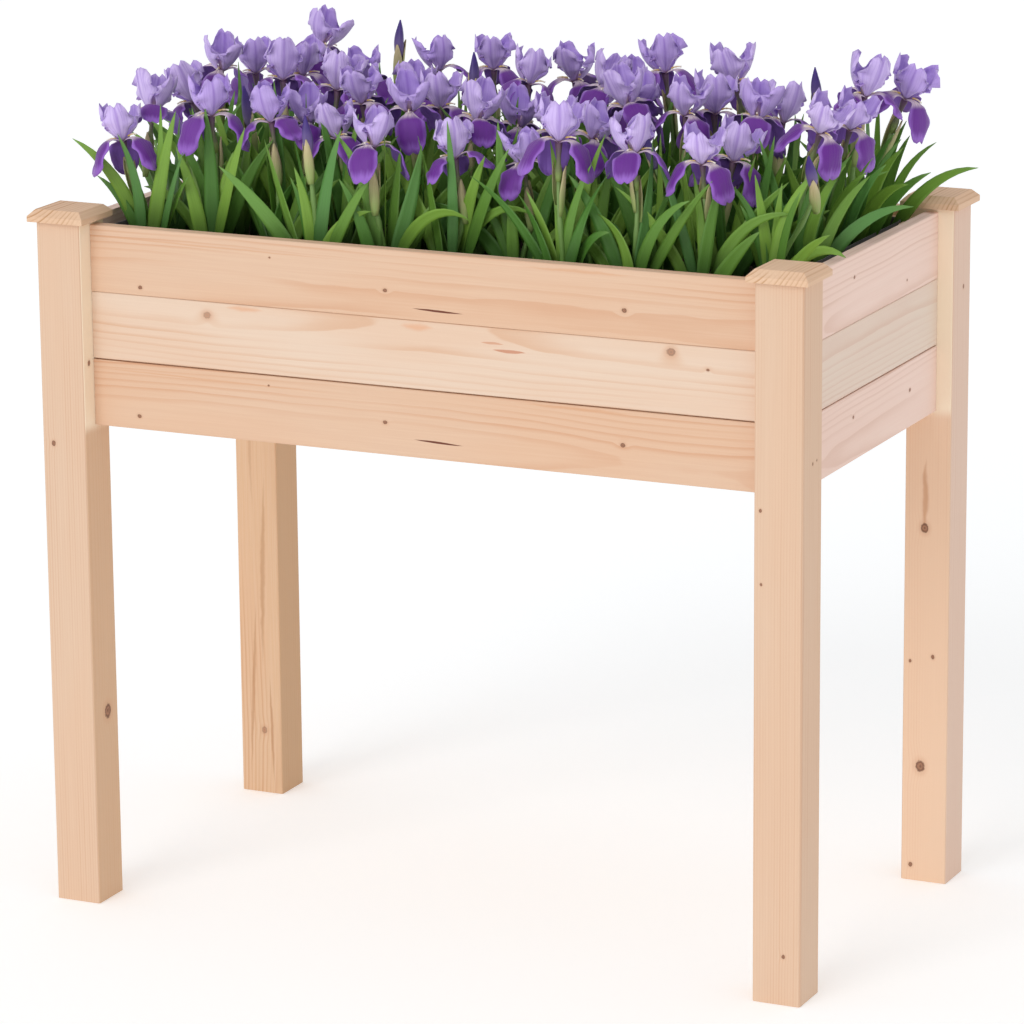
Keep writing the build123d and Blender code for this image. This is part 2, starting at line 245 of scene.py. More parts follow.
def start_group(name: str, inputs: dict[str, object], outputs: Sequence[str]) -> tuple[Graph, dict, object]:
    """Makes an empty shader group with named sockets.

    Args:
        name: the group's name.
        inputs: each input's name and default, a number or a vector.
        outputs: the names of the outputs, all of them numbers.

    Returns:
        The graph, the input sockets by name, and the output node.
    """
    tree = bpy.data.node_groups.new(name, "ShaderNodeTree")
    for label, value in inputs.items():
        kind = "NodeSocketVector" if isinstance(value, tuple) else "NodeSocketFloat"
        tree.interface.new_socket(label, in_out="INPUT", socket_type=kind).default_value = value
    for label in outputs:
        tree.interface.new_socket(label, in_out="OUTPUT", socket_type="NodeSocketFloat")
    graph = Graph(tree)
    entry = graph.add("NodeGroupInput")
    return graph, {socket.name: socket for socket in entry.outputs}, graph.add("NodeGroupOutput")


def start_material(name: str) -> tuple[bpy.types.Material, Graph, bpy.types.Node]:
    """Makes a material with one Principled shader.

    Returns:
        The material, its graph and the shader node.
    """
    material = bpy.data.materials.new(name)
    material.use_nodes = True
    graph = Graph(material.node_tree)
    shader = next(node for node in material.node_tree.nodes if node.type == "BSDF_PRINCIPLED")
    return material, graph, shader


def grain_group() -> bpy.types.NodeTree:
    """Builds the growth rings and fibres of softwood, in a board's own frame of along, across and depth.

    Returns:
        The group, with Ring, Fibre and Blotch from 0 to 1.
    """
    inputs = {"Vector": (0.0, 0.0, 0.0), "Pith Across": 0.0, "Pith Depth": -0.06, "Ring Width": 0.004,
              "Wander": 0.003, "Tilt": 0.0, "Bend": 0.0, "Seed": 0.0}
    graph, given, result = start_group("fir_grain", inputs, ("Ring", "Fibre", "Blotch"))
    along, across, depth = graph.split(given["Vector"])
    slow = graph.noise(graph.stretch(given["Vector"], 2.0, 9.0), 1.0, given["Seed"], 1.0)
    quick = graph.noise(graph.stretch(given["Vector"], 9.0, 40.0), 1.0, given["Seed"], 2.0)
    wave = graph.sum(graph.times(graph.less(slow, 0.5), 2.0), graph.times(graph.less(quick, 0.5), 0.42))
    sideways = graph.less(graph.less(across, given["Pith Across"]), graph.times(along, given["Tilt"]))
    radius = graph.length(sideways, graph.less(depth, given["Pith Depth"]))
    bent = graph.sum(graph.line(wave, given["Wander"], radius), given["Bend"])
    years = graph.math("DIVIDE", bent, given["Ring Width"])
    share = graph.math("FRACT", years)
    late = graph.times(graph.smooth(share, 0.45, 0.92), graph.smooth(share, 1.0, 0.94))
    year = graph.sum(graph.math("FLOOR", years), given["Seed"])
    chance = graph.add("ShaderNodeTexWhiteNoise", {"W": year}, noise_dimensions="1D").outputs["Value"]
    cloud = graph.noise(graph.stretch(given["Vector"], 3.0, 30.0), 1.0, given["Seed"], 1.0)
    strength = graph.times(graph.line(chance, 0.7, 0.3), graph.smooth(cloud, 0.3, 0.62))
    graph.feed(result.inputs["Ring"], graph.times(late, strength))
    fibre = graph.noise(graph.stretch(given["Vector"], 9.0, 650.0), 1.0, given["Seed"], 3.0, 0.62)
    graph.feed(result.inputs["Fibre"], fibre)
    blotch = graph.noise(graph.stretch(given["Vector"], 3.2, 13.0), 1.0, given["Seed"], 2.0)
    graph.feed(result.inputs["Blotch"], graph.smooth(blotch, 0.38, 0.66))
    return graph.tree


def knot_group() -> bpy.types.NodeTree:
    """Builds a knot that runs through a board, and how far it pushes the rings aside.

    Returns:
        The group, with Core, Halo and Eye from 0 to 1, and Bend in metres.
    """
    inputs = {"Vector": (0.0, 0.0, 0.0), "Along": 0.0, "Across": 0.0, "Radius": 0.003}
    graph, given, result = start_group("knot", inputs, ("Core", "Halo", "Eye", "Bend"))
    along, across, _ = graph.split(given["Vector"])
    ragged = graph.noise(given["Vector"], 420.0, 3.0, 2.0)
    x = graph.times(graph.less(along, given["Along"]), 0.82)
    y = graph.less(across, given["Across"])
    size = graph.math("DIVIDE", graph.length(x, y), given["Radius"])
    rough = graph.sum(size, graph.times(graph.less(ragged, 0.5), 0.7))
    graph.feed(result.inputs["Core"], graph.smooth(rough, 1.15, 0.8))
    graph.feed(result.inputs["Halo"], graph.smooth(size, 2.3, 0.8))
    eye = graph.times(graph.smooth(rough, 0.72, 0.45), graph.smooth(rough, 0.15, 0.35))
    graph.feed(result.inputs["Eye"], eye)
    push = graph.times(graph.smooth(size, 5.0, 0.5), graph.times(given["Radius"], 0.6))
    graph.feed(result.inputs["Bend"], push)
    return graph.tree


def streak_group() -> bpy.types.NodeTree:
    """Builds a long pointed mark, such as a resin slit or a flame of darker wood.

    Returns:
        The group, with Mask from 0 to 1.
    """
    inputs = {"Vector": (0.0, 0.0, 0.0), "Along": 0.0, "Across": 0.0, "Half Length": 0.03,
              "Half Width": 0.001, "Slope": 0.0, "Softness": 0.3}
    graph, given, result = start_group("streak", inputs, ("Mask",))
    along, across, _ = graph.split(given["Vector"])
    x = graph.less(along, given["Along"])
    share = graph.math("DIVIDE", x, given["Half Length"])
    wave = graph.less(graph.noise(graph.stretch(given["Vector"], 60.0, 60.0), 1.0, 5.0), 0.5)
    offset = graph.less(graph.less(across, given["Across"]), graph.times(x, given["Slope"]))
    side = graph.math("ABSOLUTE", graph.sum(graph.math("DIVIDE", offset, given["Half Width"]), wave))
    room = graph.less(graph.less(1.0, graph.times(share, share)), side)
    graph.feed(result.inputs["Mask"], graph.smooth(room, 0.0, given["Softness"]))
    return graph.tree


# ---------------------------------------------------------------- shapes


def closed_sheet(grid: np.ndarray, thickness: float | np.ndarray) -> Shell:
    """Closes a grid of points into a thin solid, such as a petal or a leaf.

    Args:
        grid: points by row along the sheet and column across it.
        thickness: in metres, one number or one for each point.

    Returns:
        The points, the faces, and the values along, across and side of every point.
    """
    rows, columns, _ = grid.shape
    normal = np.cross(np.gradient(grid, axis=0), np.gradient(grid, axis=1))
    normal /= np.maximum(np.linalg.norm(normal, axis=2, keepdims=True), 1e-12)
    half = normal * (np.broadcast_to(thickness, (rows, columns)) / 2)[..., None]
    points = np.concatenate([(grid + half).reshape(-1, 3), (grid - half).reshape(-1, 3)])
    number = np.arange(rows * columns).reshape(rows, columns)
    under = rows * columns
    faces = []
    for i in range(rows - 1):
        for j in range(columns - 1):
            quad = (number[i, j], number[i + 1, j], number[i + 1, j + 1], number[i, j + 1])
            faces.append(tuple(int(n) for n in quad))
            faces.append(tuple(int(n) + under for n in reversed(quad)))
    edge = [*number[:-1, 0], *number[-1, :-1], *number[:0:-1, -1], *number[0, :0:-1]]
    for first, second in zip(edge, edge[1:] + edge[:1]):
        faces.append((int(second), int(first), int(first) + under, int(second) + under))
    along = np.repeat(np.linspace(0, 1, rows), columns)
    across = np.tile(np.linspace(-1, 1, columns), rows)
    side = np.repeat([1.0, 0.0], under)
    return points, faces, {"along": np.tile(along, 2), "across": np.tile(across, 2), "side": side}


def closed_loft(rings: np.ndarray) -> Shell:
    """Joins rings of points into a closed solid, with a pole at each end.

    Args:
        rings: points by ring and by place round the ring, right-handed about the way along.

    Returns:
        The points, the faces, and the value along of every point.
    """
    count, sides, _ = rings.shape
    points = np.concatenate([rings.reshape(-1, 3), [rings[0].mean(0)], [rings[-1].mean(0)]])
    start, end = count * sides, count * sides + 1
    faces = []
    for k in range(sides):
        after = (k + 1) % sides
        for i in range(count - 1):
            low, high = i * sides, (i + 1) * sides
            faces.append((low + k, low + after, high + after, high + k))
        faces.append((start, after, k))
        faces.append((end, (count - 1) * sides + k, (count - 1) * sides + after))
    along = np.append(np.repeat(np.linspace(0, 1, count), sides), [0.0, 1.0])
    nothing = np.zeros(len(points))
    return points, faces, {"along": along, "across": nothing, "side": nothing}


def tube_rings(path: np.ndarray, radii: np.ndarray, sides: int) -> np.ndarray:
    """Sets a ring of points round each point of a path that never lies flat along Y.

    Args:
        path: the points of the centre line.
        radii: the radius at each point.
        sides: points in a ring.

    Returns:
        The rings, for closed_loft.
    """
    way = np.gradient(path, axis=0)
    way /= np.linalg.norm(way, axis=1, keepdims=True)
    first = np.cross((0.0, 1.0, 0.0), way)
    first /= np.linalg.norm(first, axis=1, keepdims=True)
    second = np.cross(way, first)
    angle = np.linspace(0, 2 * math.pi, sides, endpoint=False)[None, :, None]
    round_it = np.cos(angle) * first[:, None] + np.sin(angle) * second[:, None]
    return path[:, None] + round_it * np.asarray(radii)[:, None, None]


def bezier(points: Sequence[Sequence[float]], count: int) -> np.ndarray:
    """Returns count points of the cubic curve that the four given points shape."""
    t = np.linspace(0, 1, count)[:, None]
    a, b, c, d = (np.asarray(point, float) for point in points)
    return a * (1 - t) ** 3 + 3 * b * t * (1 - t) ** 2 + 3 * c * t * t * (1 - t) + d * t ** 3


def soft_step(value: np.ndarray | float, low: float, high: float) -> np.ndarray:
    """Returns a soft step of the value, from 0 at low to 1 at high."""
    share = np.clip((np.asarray(value, float) - low) / (high - low), 0, 1)
    return share * share * (3 - 2 * share)


@dataclass
class Gathered:
    """The shells of one piece, gathered one by one."""

    points: list[np.ndarray] = field(default_factory=list)
    faces: list[tuple[int, ...]] = field(default_factory=list)
    values: dict[str, list[np.ndarray]] = field(default_factory=dict)
    count: int = 0

    def add(self, shell: Shell, **extra: float) -> None:
        """Adds a shell.

        Args:
            shell: points, faces and values, from closed_sheet or closed_loft.
            extra: further values, the same at each of its points.
        """
        points, faces, values = shell
        self.points.append(points)
        self.faces.extend(tuple(n + self.count for n in face) for face in faces)
        for name, numbers in {**values, **{k: np.full(len(points), v) for k, v in extra.items()}}.items():
            self.values.setdefault(name, []).append(numbers)
        self.count += len(points)

    def make(self, name: str, material: bpy.types.Material | None = None) -> bpy.types.Object:
        """Makes one smooth object of all shells, at the origin."""
        mesh = bpy.data.meshes.new(name)
        mesh.from_pydata(np.concatenate(self.points).tolist(), [], self.faces)
        for label, numbers in self.values.items():
            mesh.attributes.new(label, "FLOAT", "POINT").data.foreach_set("value", np.concatenate(numbers))
        mesh.shade_smooth()
        if material:
            mesh.materials.append(material)
        mesh.update()
        return linked(name, mesh)


def lofted(name: str, rings: object, material: bpy.types.Material | None = None) -> bpy.types.Object:
    """Makes one smooth object of rings of points, closed at both ends."""
    shape = Gathered()
    shape.add(closed_loft(np.array(rings)))
    return shape.make(name, material)


def turned(profile: Sequence[tuple[float, float]], angles: np.ndarray) -> list[list[tuple]]:
    """Returns the rings of a turned shape, one for each radius and height of its profile."""
    return [[(r * math.cos(a), r * math.sin(a), z) for a in angles] for r, z in profile]


def solids_of(node: str) -> list[np.ndarray]:
    """Separates a CAD node into its solids.

    Args:
        node: the node's name.

    Returns:
        The points of each solid, from left to right and from front to back.
    """
    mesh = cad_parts[node].data
    points = np.array([vertex.co for vertex in mesh.vertices], float)
    _, same = np.unique(np.round(points, 5), axis=0, return_inverse=True)
    same = same.ravel()
    leader = list(range(int(same.max()) + 1))

    def top(n: int) -> int:
        """Finds the leader of the solid that a point is in."""
        while leader[n] != n:
            leader[n] = leader[leader[n]]
            n = leader[n]
        return n

    for face in mesh.polygons:
        numbers = [int(same[n]) for n in face.vertices]
        for other in numbers[1:]:
            leader[top(other)] = top(numbers[0])
    labels = np.array([top(int(n)) for n in same])
    parts = [points[labels == label] for label in np.unique(labels)]
    return sorted(parts, key=lambda part: tuple(np.round(part.mean(0), 4)))


# ---------------------------------------------------------------- repeats by Geometry Nodes


class Setting(Enum):
    """The named inputs of the tree that sets ready shapes on marked points."""

    FIRST = "First Form"
    SECOND = "Second Form"
    THIRD = "Third Form"
    FINISH = "Finish"


def placing_tree() -> bpy.types.NodeTree:
    """Builds the tree that sets one of three forms on each point, turned and sized as the point says.

    Returns:
        The geometry tree.
    """
    tree = bpy.data.node_groups.new("set_on_points", "GeometryNodeTree")
    tree.interface.new_socket("Places", in_out="INPUT", socket_type="NodeSocketGeometry")
    forms = (Setting.FIRST, Setting.SECOND, Setting.THIRD)
    for setting in forms:
        tree.interface.new_socket(setting.value, in_out="INPUT", socket_type="NodeSocketObject")
    tree.interface.new_socket(Setting.FINISH.value, in_out="INPUT", socket_type="NodeSocketMaterial")
    tree.interface.new_socket("Geometry", in_out="OUTPUT", socket_type="NodeSocketGeometry")
    graph = Graph(tree)
    entry = graph.add("NodeGroupInput")
    choice = graph.add("GeometryNodeJoinGeometry")
    for setting in forms:
        sockets = {"Object": entry.outputs[setting.value], "As Instance": True}
        info = graph.add("GeometryNodeObjectInfo", sockets)
        tree.links.new(info.outputs["Geometry"], choice.inputs[0])
    read = {}
    for name, kind in (("turn", "FLOAT_VECTOR"), ("size", "FLOAT"), ("form", "INT")):
        read[name] = graph.add("GeometryNodeInputNamedAttribute", {"Name": name}, data_type=kind).outputs[0]
    rotation = graph.add("FunctionNodeEulerToRotation", {0: read["turn"]}).outputs[0]
    placed = graph.add("GeometryNodeInstanceOnPoints", {
        "Points": entry.outputs["Places"], "Instance": choice.outputs[0], "Pick Instance": True,
        "Instance Index": read["form"], "Rotation": rotation, "Scale": read["size"]})
    real = graph.add("GeometryNodeRealizeInstances", {0: placed.outputs[0]})
    dressed = graph.add("GeometryNodeSetMaterial", {
        "Geometry": real.outputs[0], "Material": entry.outputs[Setting.FINISH.value]})
    exit_node = graph.add("NodeGroupOutput")
    tree.links.new(dressed.outputs[0], exit_node.inputs[0])
    return tree


def scatter_tree() -> bpy.types.NodeTree:
    """Builds the tree that strews a small form over a surface.

    Returns:
        The geometry tree.
    """
    tree = bpy.data.node_groups.new("strewn", "GeometryNodeTree")
    kinds = {"Surface": "Geometry", "Form": "Object", "Density": "Float", "Smallest": "Float",
             "Largest": "Float", "Seed": "Int", "Finish": "Material"}
    for label, kind in kinds.items():
        tree.interface.new_socket(label, in_out="INPUT", socket_type=f"NodeSocket{kind}")
    tree.interface.new_socket("Geometry", in_out="OUTPUT", socket_type="NodeSocketGeometry")
    graph = Graph(tree)
    entry = graph.add("NodeGroupInput").outputs
    spots = graph.add("GeometryNodeDistributePointsOnFaces", {
        "Mesh": entry["Surface"], "Density": entry["Density"], "Seed": entry["Seed"]})
    info = graph.add("GeometryNodeObjectInfo", {"Object": entry["Form"], "As Instance": True})
    any_way = {1: (math.tau,) * 3, "Seed": entry["Seed"]}
    any_size = {2: entry["Smallest"], 3: entry["Largest"], "Seed": entry["Seed"]}
    turn = graph.add("FunctionNodeRandomValue", any_way, data_type="FLOAT_VECTOR")
    size = graph.add("FunctionNodeRandomValue", any_size, data_type="FLOAT")
    rotation = graph.add("FunctionNodeEulerToRotation", {0: turn.outputs[0]})
    placed = graph.add("GeometryNodeInstanceOnPoints", {
        "Points": spots.outputs["Points"], "Instance": info.outputs["Geometry"],
        "Rotation": rotation.outputs[0], "Scale": size.outputs[1]})
    real = graph.add("GeometryNodeRealizeInstances", {0: placed.outputs[0]})
    dressed = graph.add("GeometryNodeSetMaterial", {"Geometry": real.outputs[0], "Material": entry["Finish"]})
    exit_node = graph.add("NodeGroupOutput")
    tree.links.new(dressed.outputs[0], exit_node.inputs[0])
    return tree


def grown(name: str, carrier: bpy.types.Object, tree: bpy.types.NodeTree, inputs: dict[str, object]
          ) -> bpy.types.Object:
    """Runs a geometry tree on a carrier and keeps the result as a plain mesh.

    Args:
        name: the new piece's name.
        carrier: the object whose points or faces the tree reads. It is removed afterwards.
        tree: the geometry tree.
        inputs: the value of each named input.

    Returns:
        The new piece, at the origin.
    """
    modifier = carrier.modifiers.new("growing", "NODES")
    modifier.node_group = tree
    for item in tree.interface.items_tree:
        if item.in_out == "INPUT" and item.name in inputs:
            modifier[item.identifier] = inputs[item.name]
    graph = bpy.context.evaluated_depsgraph_get()
    ready = carrier.evaluated_get(graph)
    mesh = bpy.data.meshes.new_from_object(ready, preserve_all_data_layers=True, depsgraph=graph)
    mesh.name = name
    carrier.modifiers.remove(modifier)
    bpy.data.objects.remove(carrier)
    return linked(name, mesh)


@dataclass
class Places:
    """Marked points for placing_tree."""

    points: list[Vector] = field(default_factory=list)
    turns: list[Euler] = field(default_factory=list)
    sizes: list[float] = field(default_factory=list)
    forms: list[int] = field(default_factory=list)
    tints: list[float] = field(default_factory=list)

    def mark(self, point: Vector, turn: Euler, size: float = 1.0, form: int = 0, tint: float = 0.5) -> None:
        """Adds a point with its turn, size, form and tint."""
        self.points.append(point)
        self.turns.append(turn)
        self.sizes.append(size)
        self.forms.append(form)
        self.tints.append(tint)

    def carrier(self) -> bpy.types.Object:
        """Makes the mesh of loose points that the tree reads."""
        mesh = bpy.data.meshes.new("places")
        mesh.from_pydata([tuple(point) for point in self.points], [], [])
        turn = mesh.attributes.new("turn", "FLOAT_VECTOR", "POINT")
        turn.data.foreach_set("vector", np.array([tuple(t) for t in self.turns], float).ravel())
        for name, kind, numbers in (("size", "FLOAT", self.sizes), ("form", "INT", self.forms),
                                    ("tint", "FLOAT", self.tints)):
            mesh.attributes.new(name, kind, "POINT").data.foreach_set("value", numbers)
        return linked("places", mesh)

    def fill(self, name: str, forms: Sequence[bpy.types.Object], finish: bpy.types.Material,
             tree: bpy.types.NodeTree) -> bpy.types.Object:
        """Sets the forms on the points and returns the piece. The forms themselves are removed."""
        inputs = {Setting.FIRST.value: forms[0], Setting.SECOND.value: forms[1 % len(forms)],
                  Setting.THIRD.value: forms[2 % len(forms)], Setting.FINISH.value: finish}
        piece = grown(name, self.carrier(), tree, inputs)
        for form in forms:
            bpy.data.objects.remove(form)
        return piece


# ---------------------------------------------------------------- wood


class Lay(Enum):
    """How a piece of wood lies: the object directions of its along, across and depth."""

    FRONT = ((1, 0, 0), (0, 0, 1), (0, -1, 0))
    END = ((0, 1, 0), (0, 0, 1), (1, 0, 0))
    POST = ((0, 0, 1), (1, 0, 0), (0, 1, 0))
    SLAT = ((0, 1, 0), (1, 0, 0), (0, 0, -1))
    RAIL = ((1, 0, 0), (0, 1, 0), (0, 0, 1))
    CROSS_RAIL = ((0, 1, 0), (-1, 0, 0), (0, 0, 1))

    def turn(self) -> Euler:
        """Returns the turn from the piece's own frame to the object's."""
        return Matrix(self.value).transposed().to_euler()


@dataclass(frozen=True)
class Knot:
    """A knot, in millimetres from the piece's middle. It runs through the depth, or across if side is set."""

    along: float
    across: float
    radius: float = 2.0
    side: bool = False
    dark: float = 0.85


@dataclass(frozen=True)
class Streak:
    """A pointed mark along the grain, in millimetres from the piece's middle."""

    along: float
    across: float
    half_length: float
    half_width: float
    colour: Colour = tone(96, 44, 28)
    strength: float = 0.9
    slope: float = 0.0
    softness: float = 0.3
    side: bool = False


@dataclass(frozen=True)
class PaintedFaceLight:
    """Painted light on one face of a post, from a height up, in millimetres from the post's middle.

    A paler tone of wood there is a painted highlight and a darker one is painted shade, for how the light
    falls on that face.
    It lies beyond `skin` along the depth, or across if side is set. A negative skin is the opposite face.
    """

    start: float
    skin: float
    # the default tone is pale: a painted highlight
    colour: Colour = tone(255, 238, 212)
    strength: float = 0.85
    side: bool = False
    fade: float = 0.3


@dataclass(frozen=True)
class Fir:
    """Planed fir of one piece: its tones, its rings, its marks, and painted light and shade on its faces."""

    base: Colour = tone(234, 196, 165)
    pale: Colour = tone(243, 212, 184)
    warm: Colour = tone(226, 178, 142)
    late: Colour = tone(205, 150, 112)
    knot: Colour = tone(104, 62, 44)
    halo: Colour = tone(205, 150, 116)
    ring_strength: float = 0.5
    ring_width: float = 4.6
    pith_across: float = -22.0
    pith_depth: float = -40.0
    wander: float = 4.0
    tilt: float = 0.0
    blotch: float = 0.3
    fibre: float = 0.32
    # knots and streaks are marks of the wood; the face tones of the posts are painted light and shade
    marks_and_face_light: tuple[Knot | Streak | PaintedFaceLight, ...] = ()

    def material(self, name: str, centre: Vector, lay: Lay, seed: float, groups: "WoodGroups"
                 ) -> bpy.types.Material:
        """Builds the material of one piece.

        Args:
            name: the material's name.
            centre: the middle of the piece.
            lay: how the piece lies.
            seed: picks this piece's own noise.
            groups: the shared shader groups.

        Returns:
            The material.
        """
        material, graph, shader = start_material(name)
        sockets = {"Vector": graph.place(), "Location": centre, "Rotation": lay.turn()}
        own = graph.add("ShaderNodeMapping", sockets, vector_type="TEXTURE").outputs[0]
        along, across, depth = graph.split(own)
        turned = graph.join(along, depth, across)
        knots, streaks_and_face_light, bend = [], [], 0.0
        for mark in self.marks_and_face_light:
            # Painted light and shade: a paler or darker wood tone on one face of a post, from a height up.
            if isinstance(mark, PaintedFaceLight):
                through = graph.times(across if mark.side else depth, math.copysign(1.0, mark.skin))
                face = graph.smooth(through, (abs(mark.skin) - mark.fade) * MM, abs(mark.skin) * MM)
                above = graph.smooth(along, (mark.start - 10) * MM, (mark.start + 6) * MM)
                streaks_and_face_light.append((mark, graph.times(face, above)))
                continue
            spot = dict(vector=turned if mark.side else own, along=mark.along * MM, across=mark.across * MM)
            if isinstance(mark, Knot):
                parts = graph.group(groups.knot, **spot, radius=mark.radius * MM)
                knots.append((mark, parts))
                bend = graph.sum(bend, parts["Bend"])
            else:
                parts = graph.group(groups.streak, **spot, half_length=mark.half_length * MM,
                                    half_width=mark.half_width * MM, slope=mark.slope, softness=mark.softness)
                streaks_and_face_light.append((mark, parts["Mask"]))
        grain = graph.group(groups.grain, vector=own, pith_across=self.pith_across * MM,
                            pith_depth=self.pith_depth * MM, ring_width=self.ring_width * MM,
                            wander=self.wander * MM, tilt=self.tilt, bend=bend, seed=seed)
        colour = graph.tint(graph.smooth(grain["Fibre"], 0.35, 0.7), self.fibre, self.base, self.pale)
        colour = graph.tint(grain["Blotch"], self.blotch, colour, self.warm)
        colour = graph.tint(grain["Ring"], self.ring_strength, colour, self.late)
        # The streaks, and the painted light and shade on the faces of the posts.
        for mark, mask in streaks_and_face_light:
            colour = graph.tint(mask, mark.strength, colour, mark.colour)
        height = graph.line(grain["Fibre"], 0.6, graph.times(grain["Ring"], 0.5))
        for mark, parts in knots:
            colour = graph.tint(parts["Halo"], 0.35, colour, self.halo)
            colour = graph.tint(parts["Core"], mark.dark, colour, self.knot)
            colour = graph.tint(parts["Eye"], 0.45, colour, self.halo)
            height = graph.less(height, graph.times(parts["Core"], 0.5))
        graph.dress(shader, colour, graph.line(grain["Fibre"], 0.2, 0.52), Specular_IOR_Level=0.3)
        graph.bump(shader, 0.35, 0.3 * MM, height)
        return material


@dataclass(frozen=True)
class WoodGroups:
    """The shader groups that every piece of wood shares."""

    grain: bpy.types.NodeTree
    knot: bpy.types.NodeTree
    streak: bpy.types.NodeTree


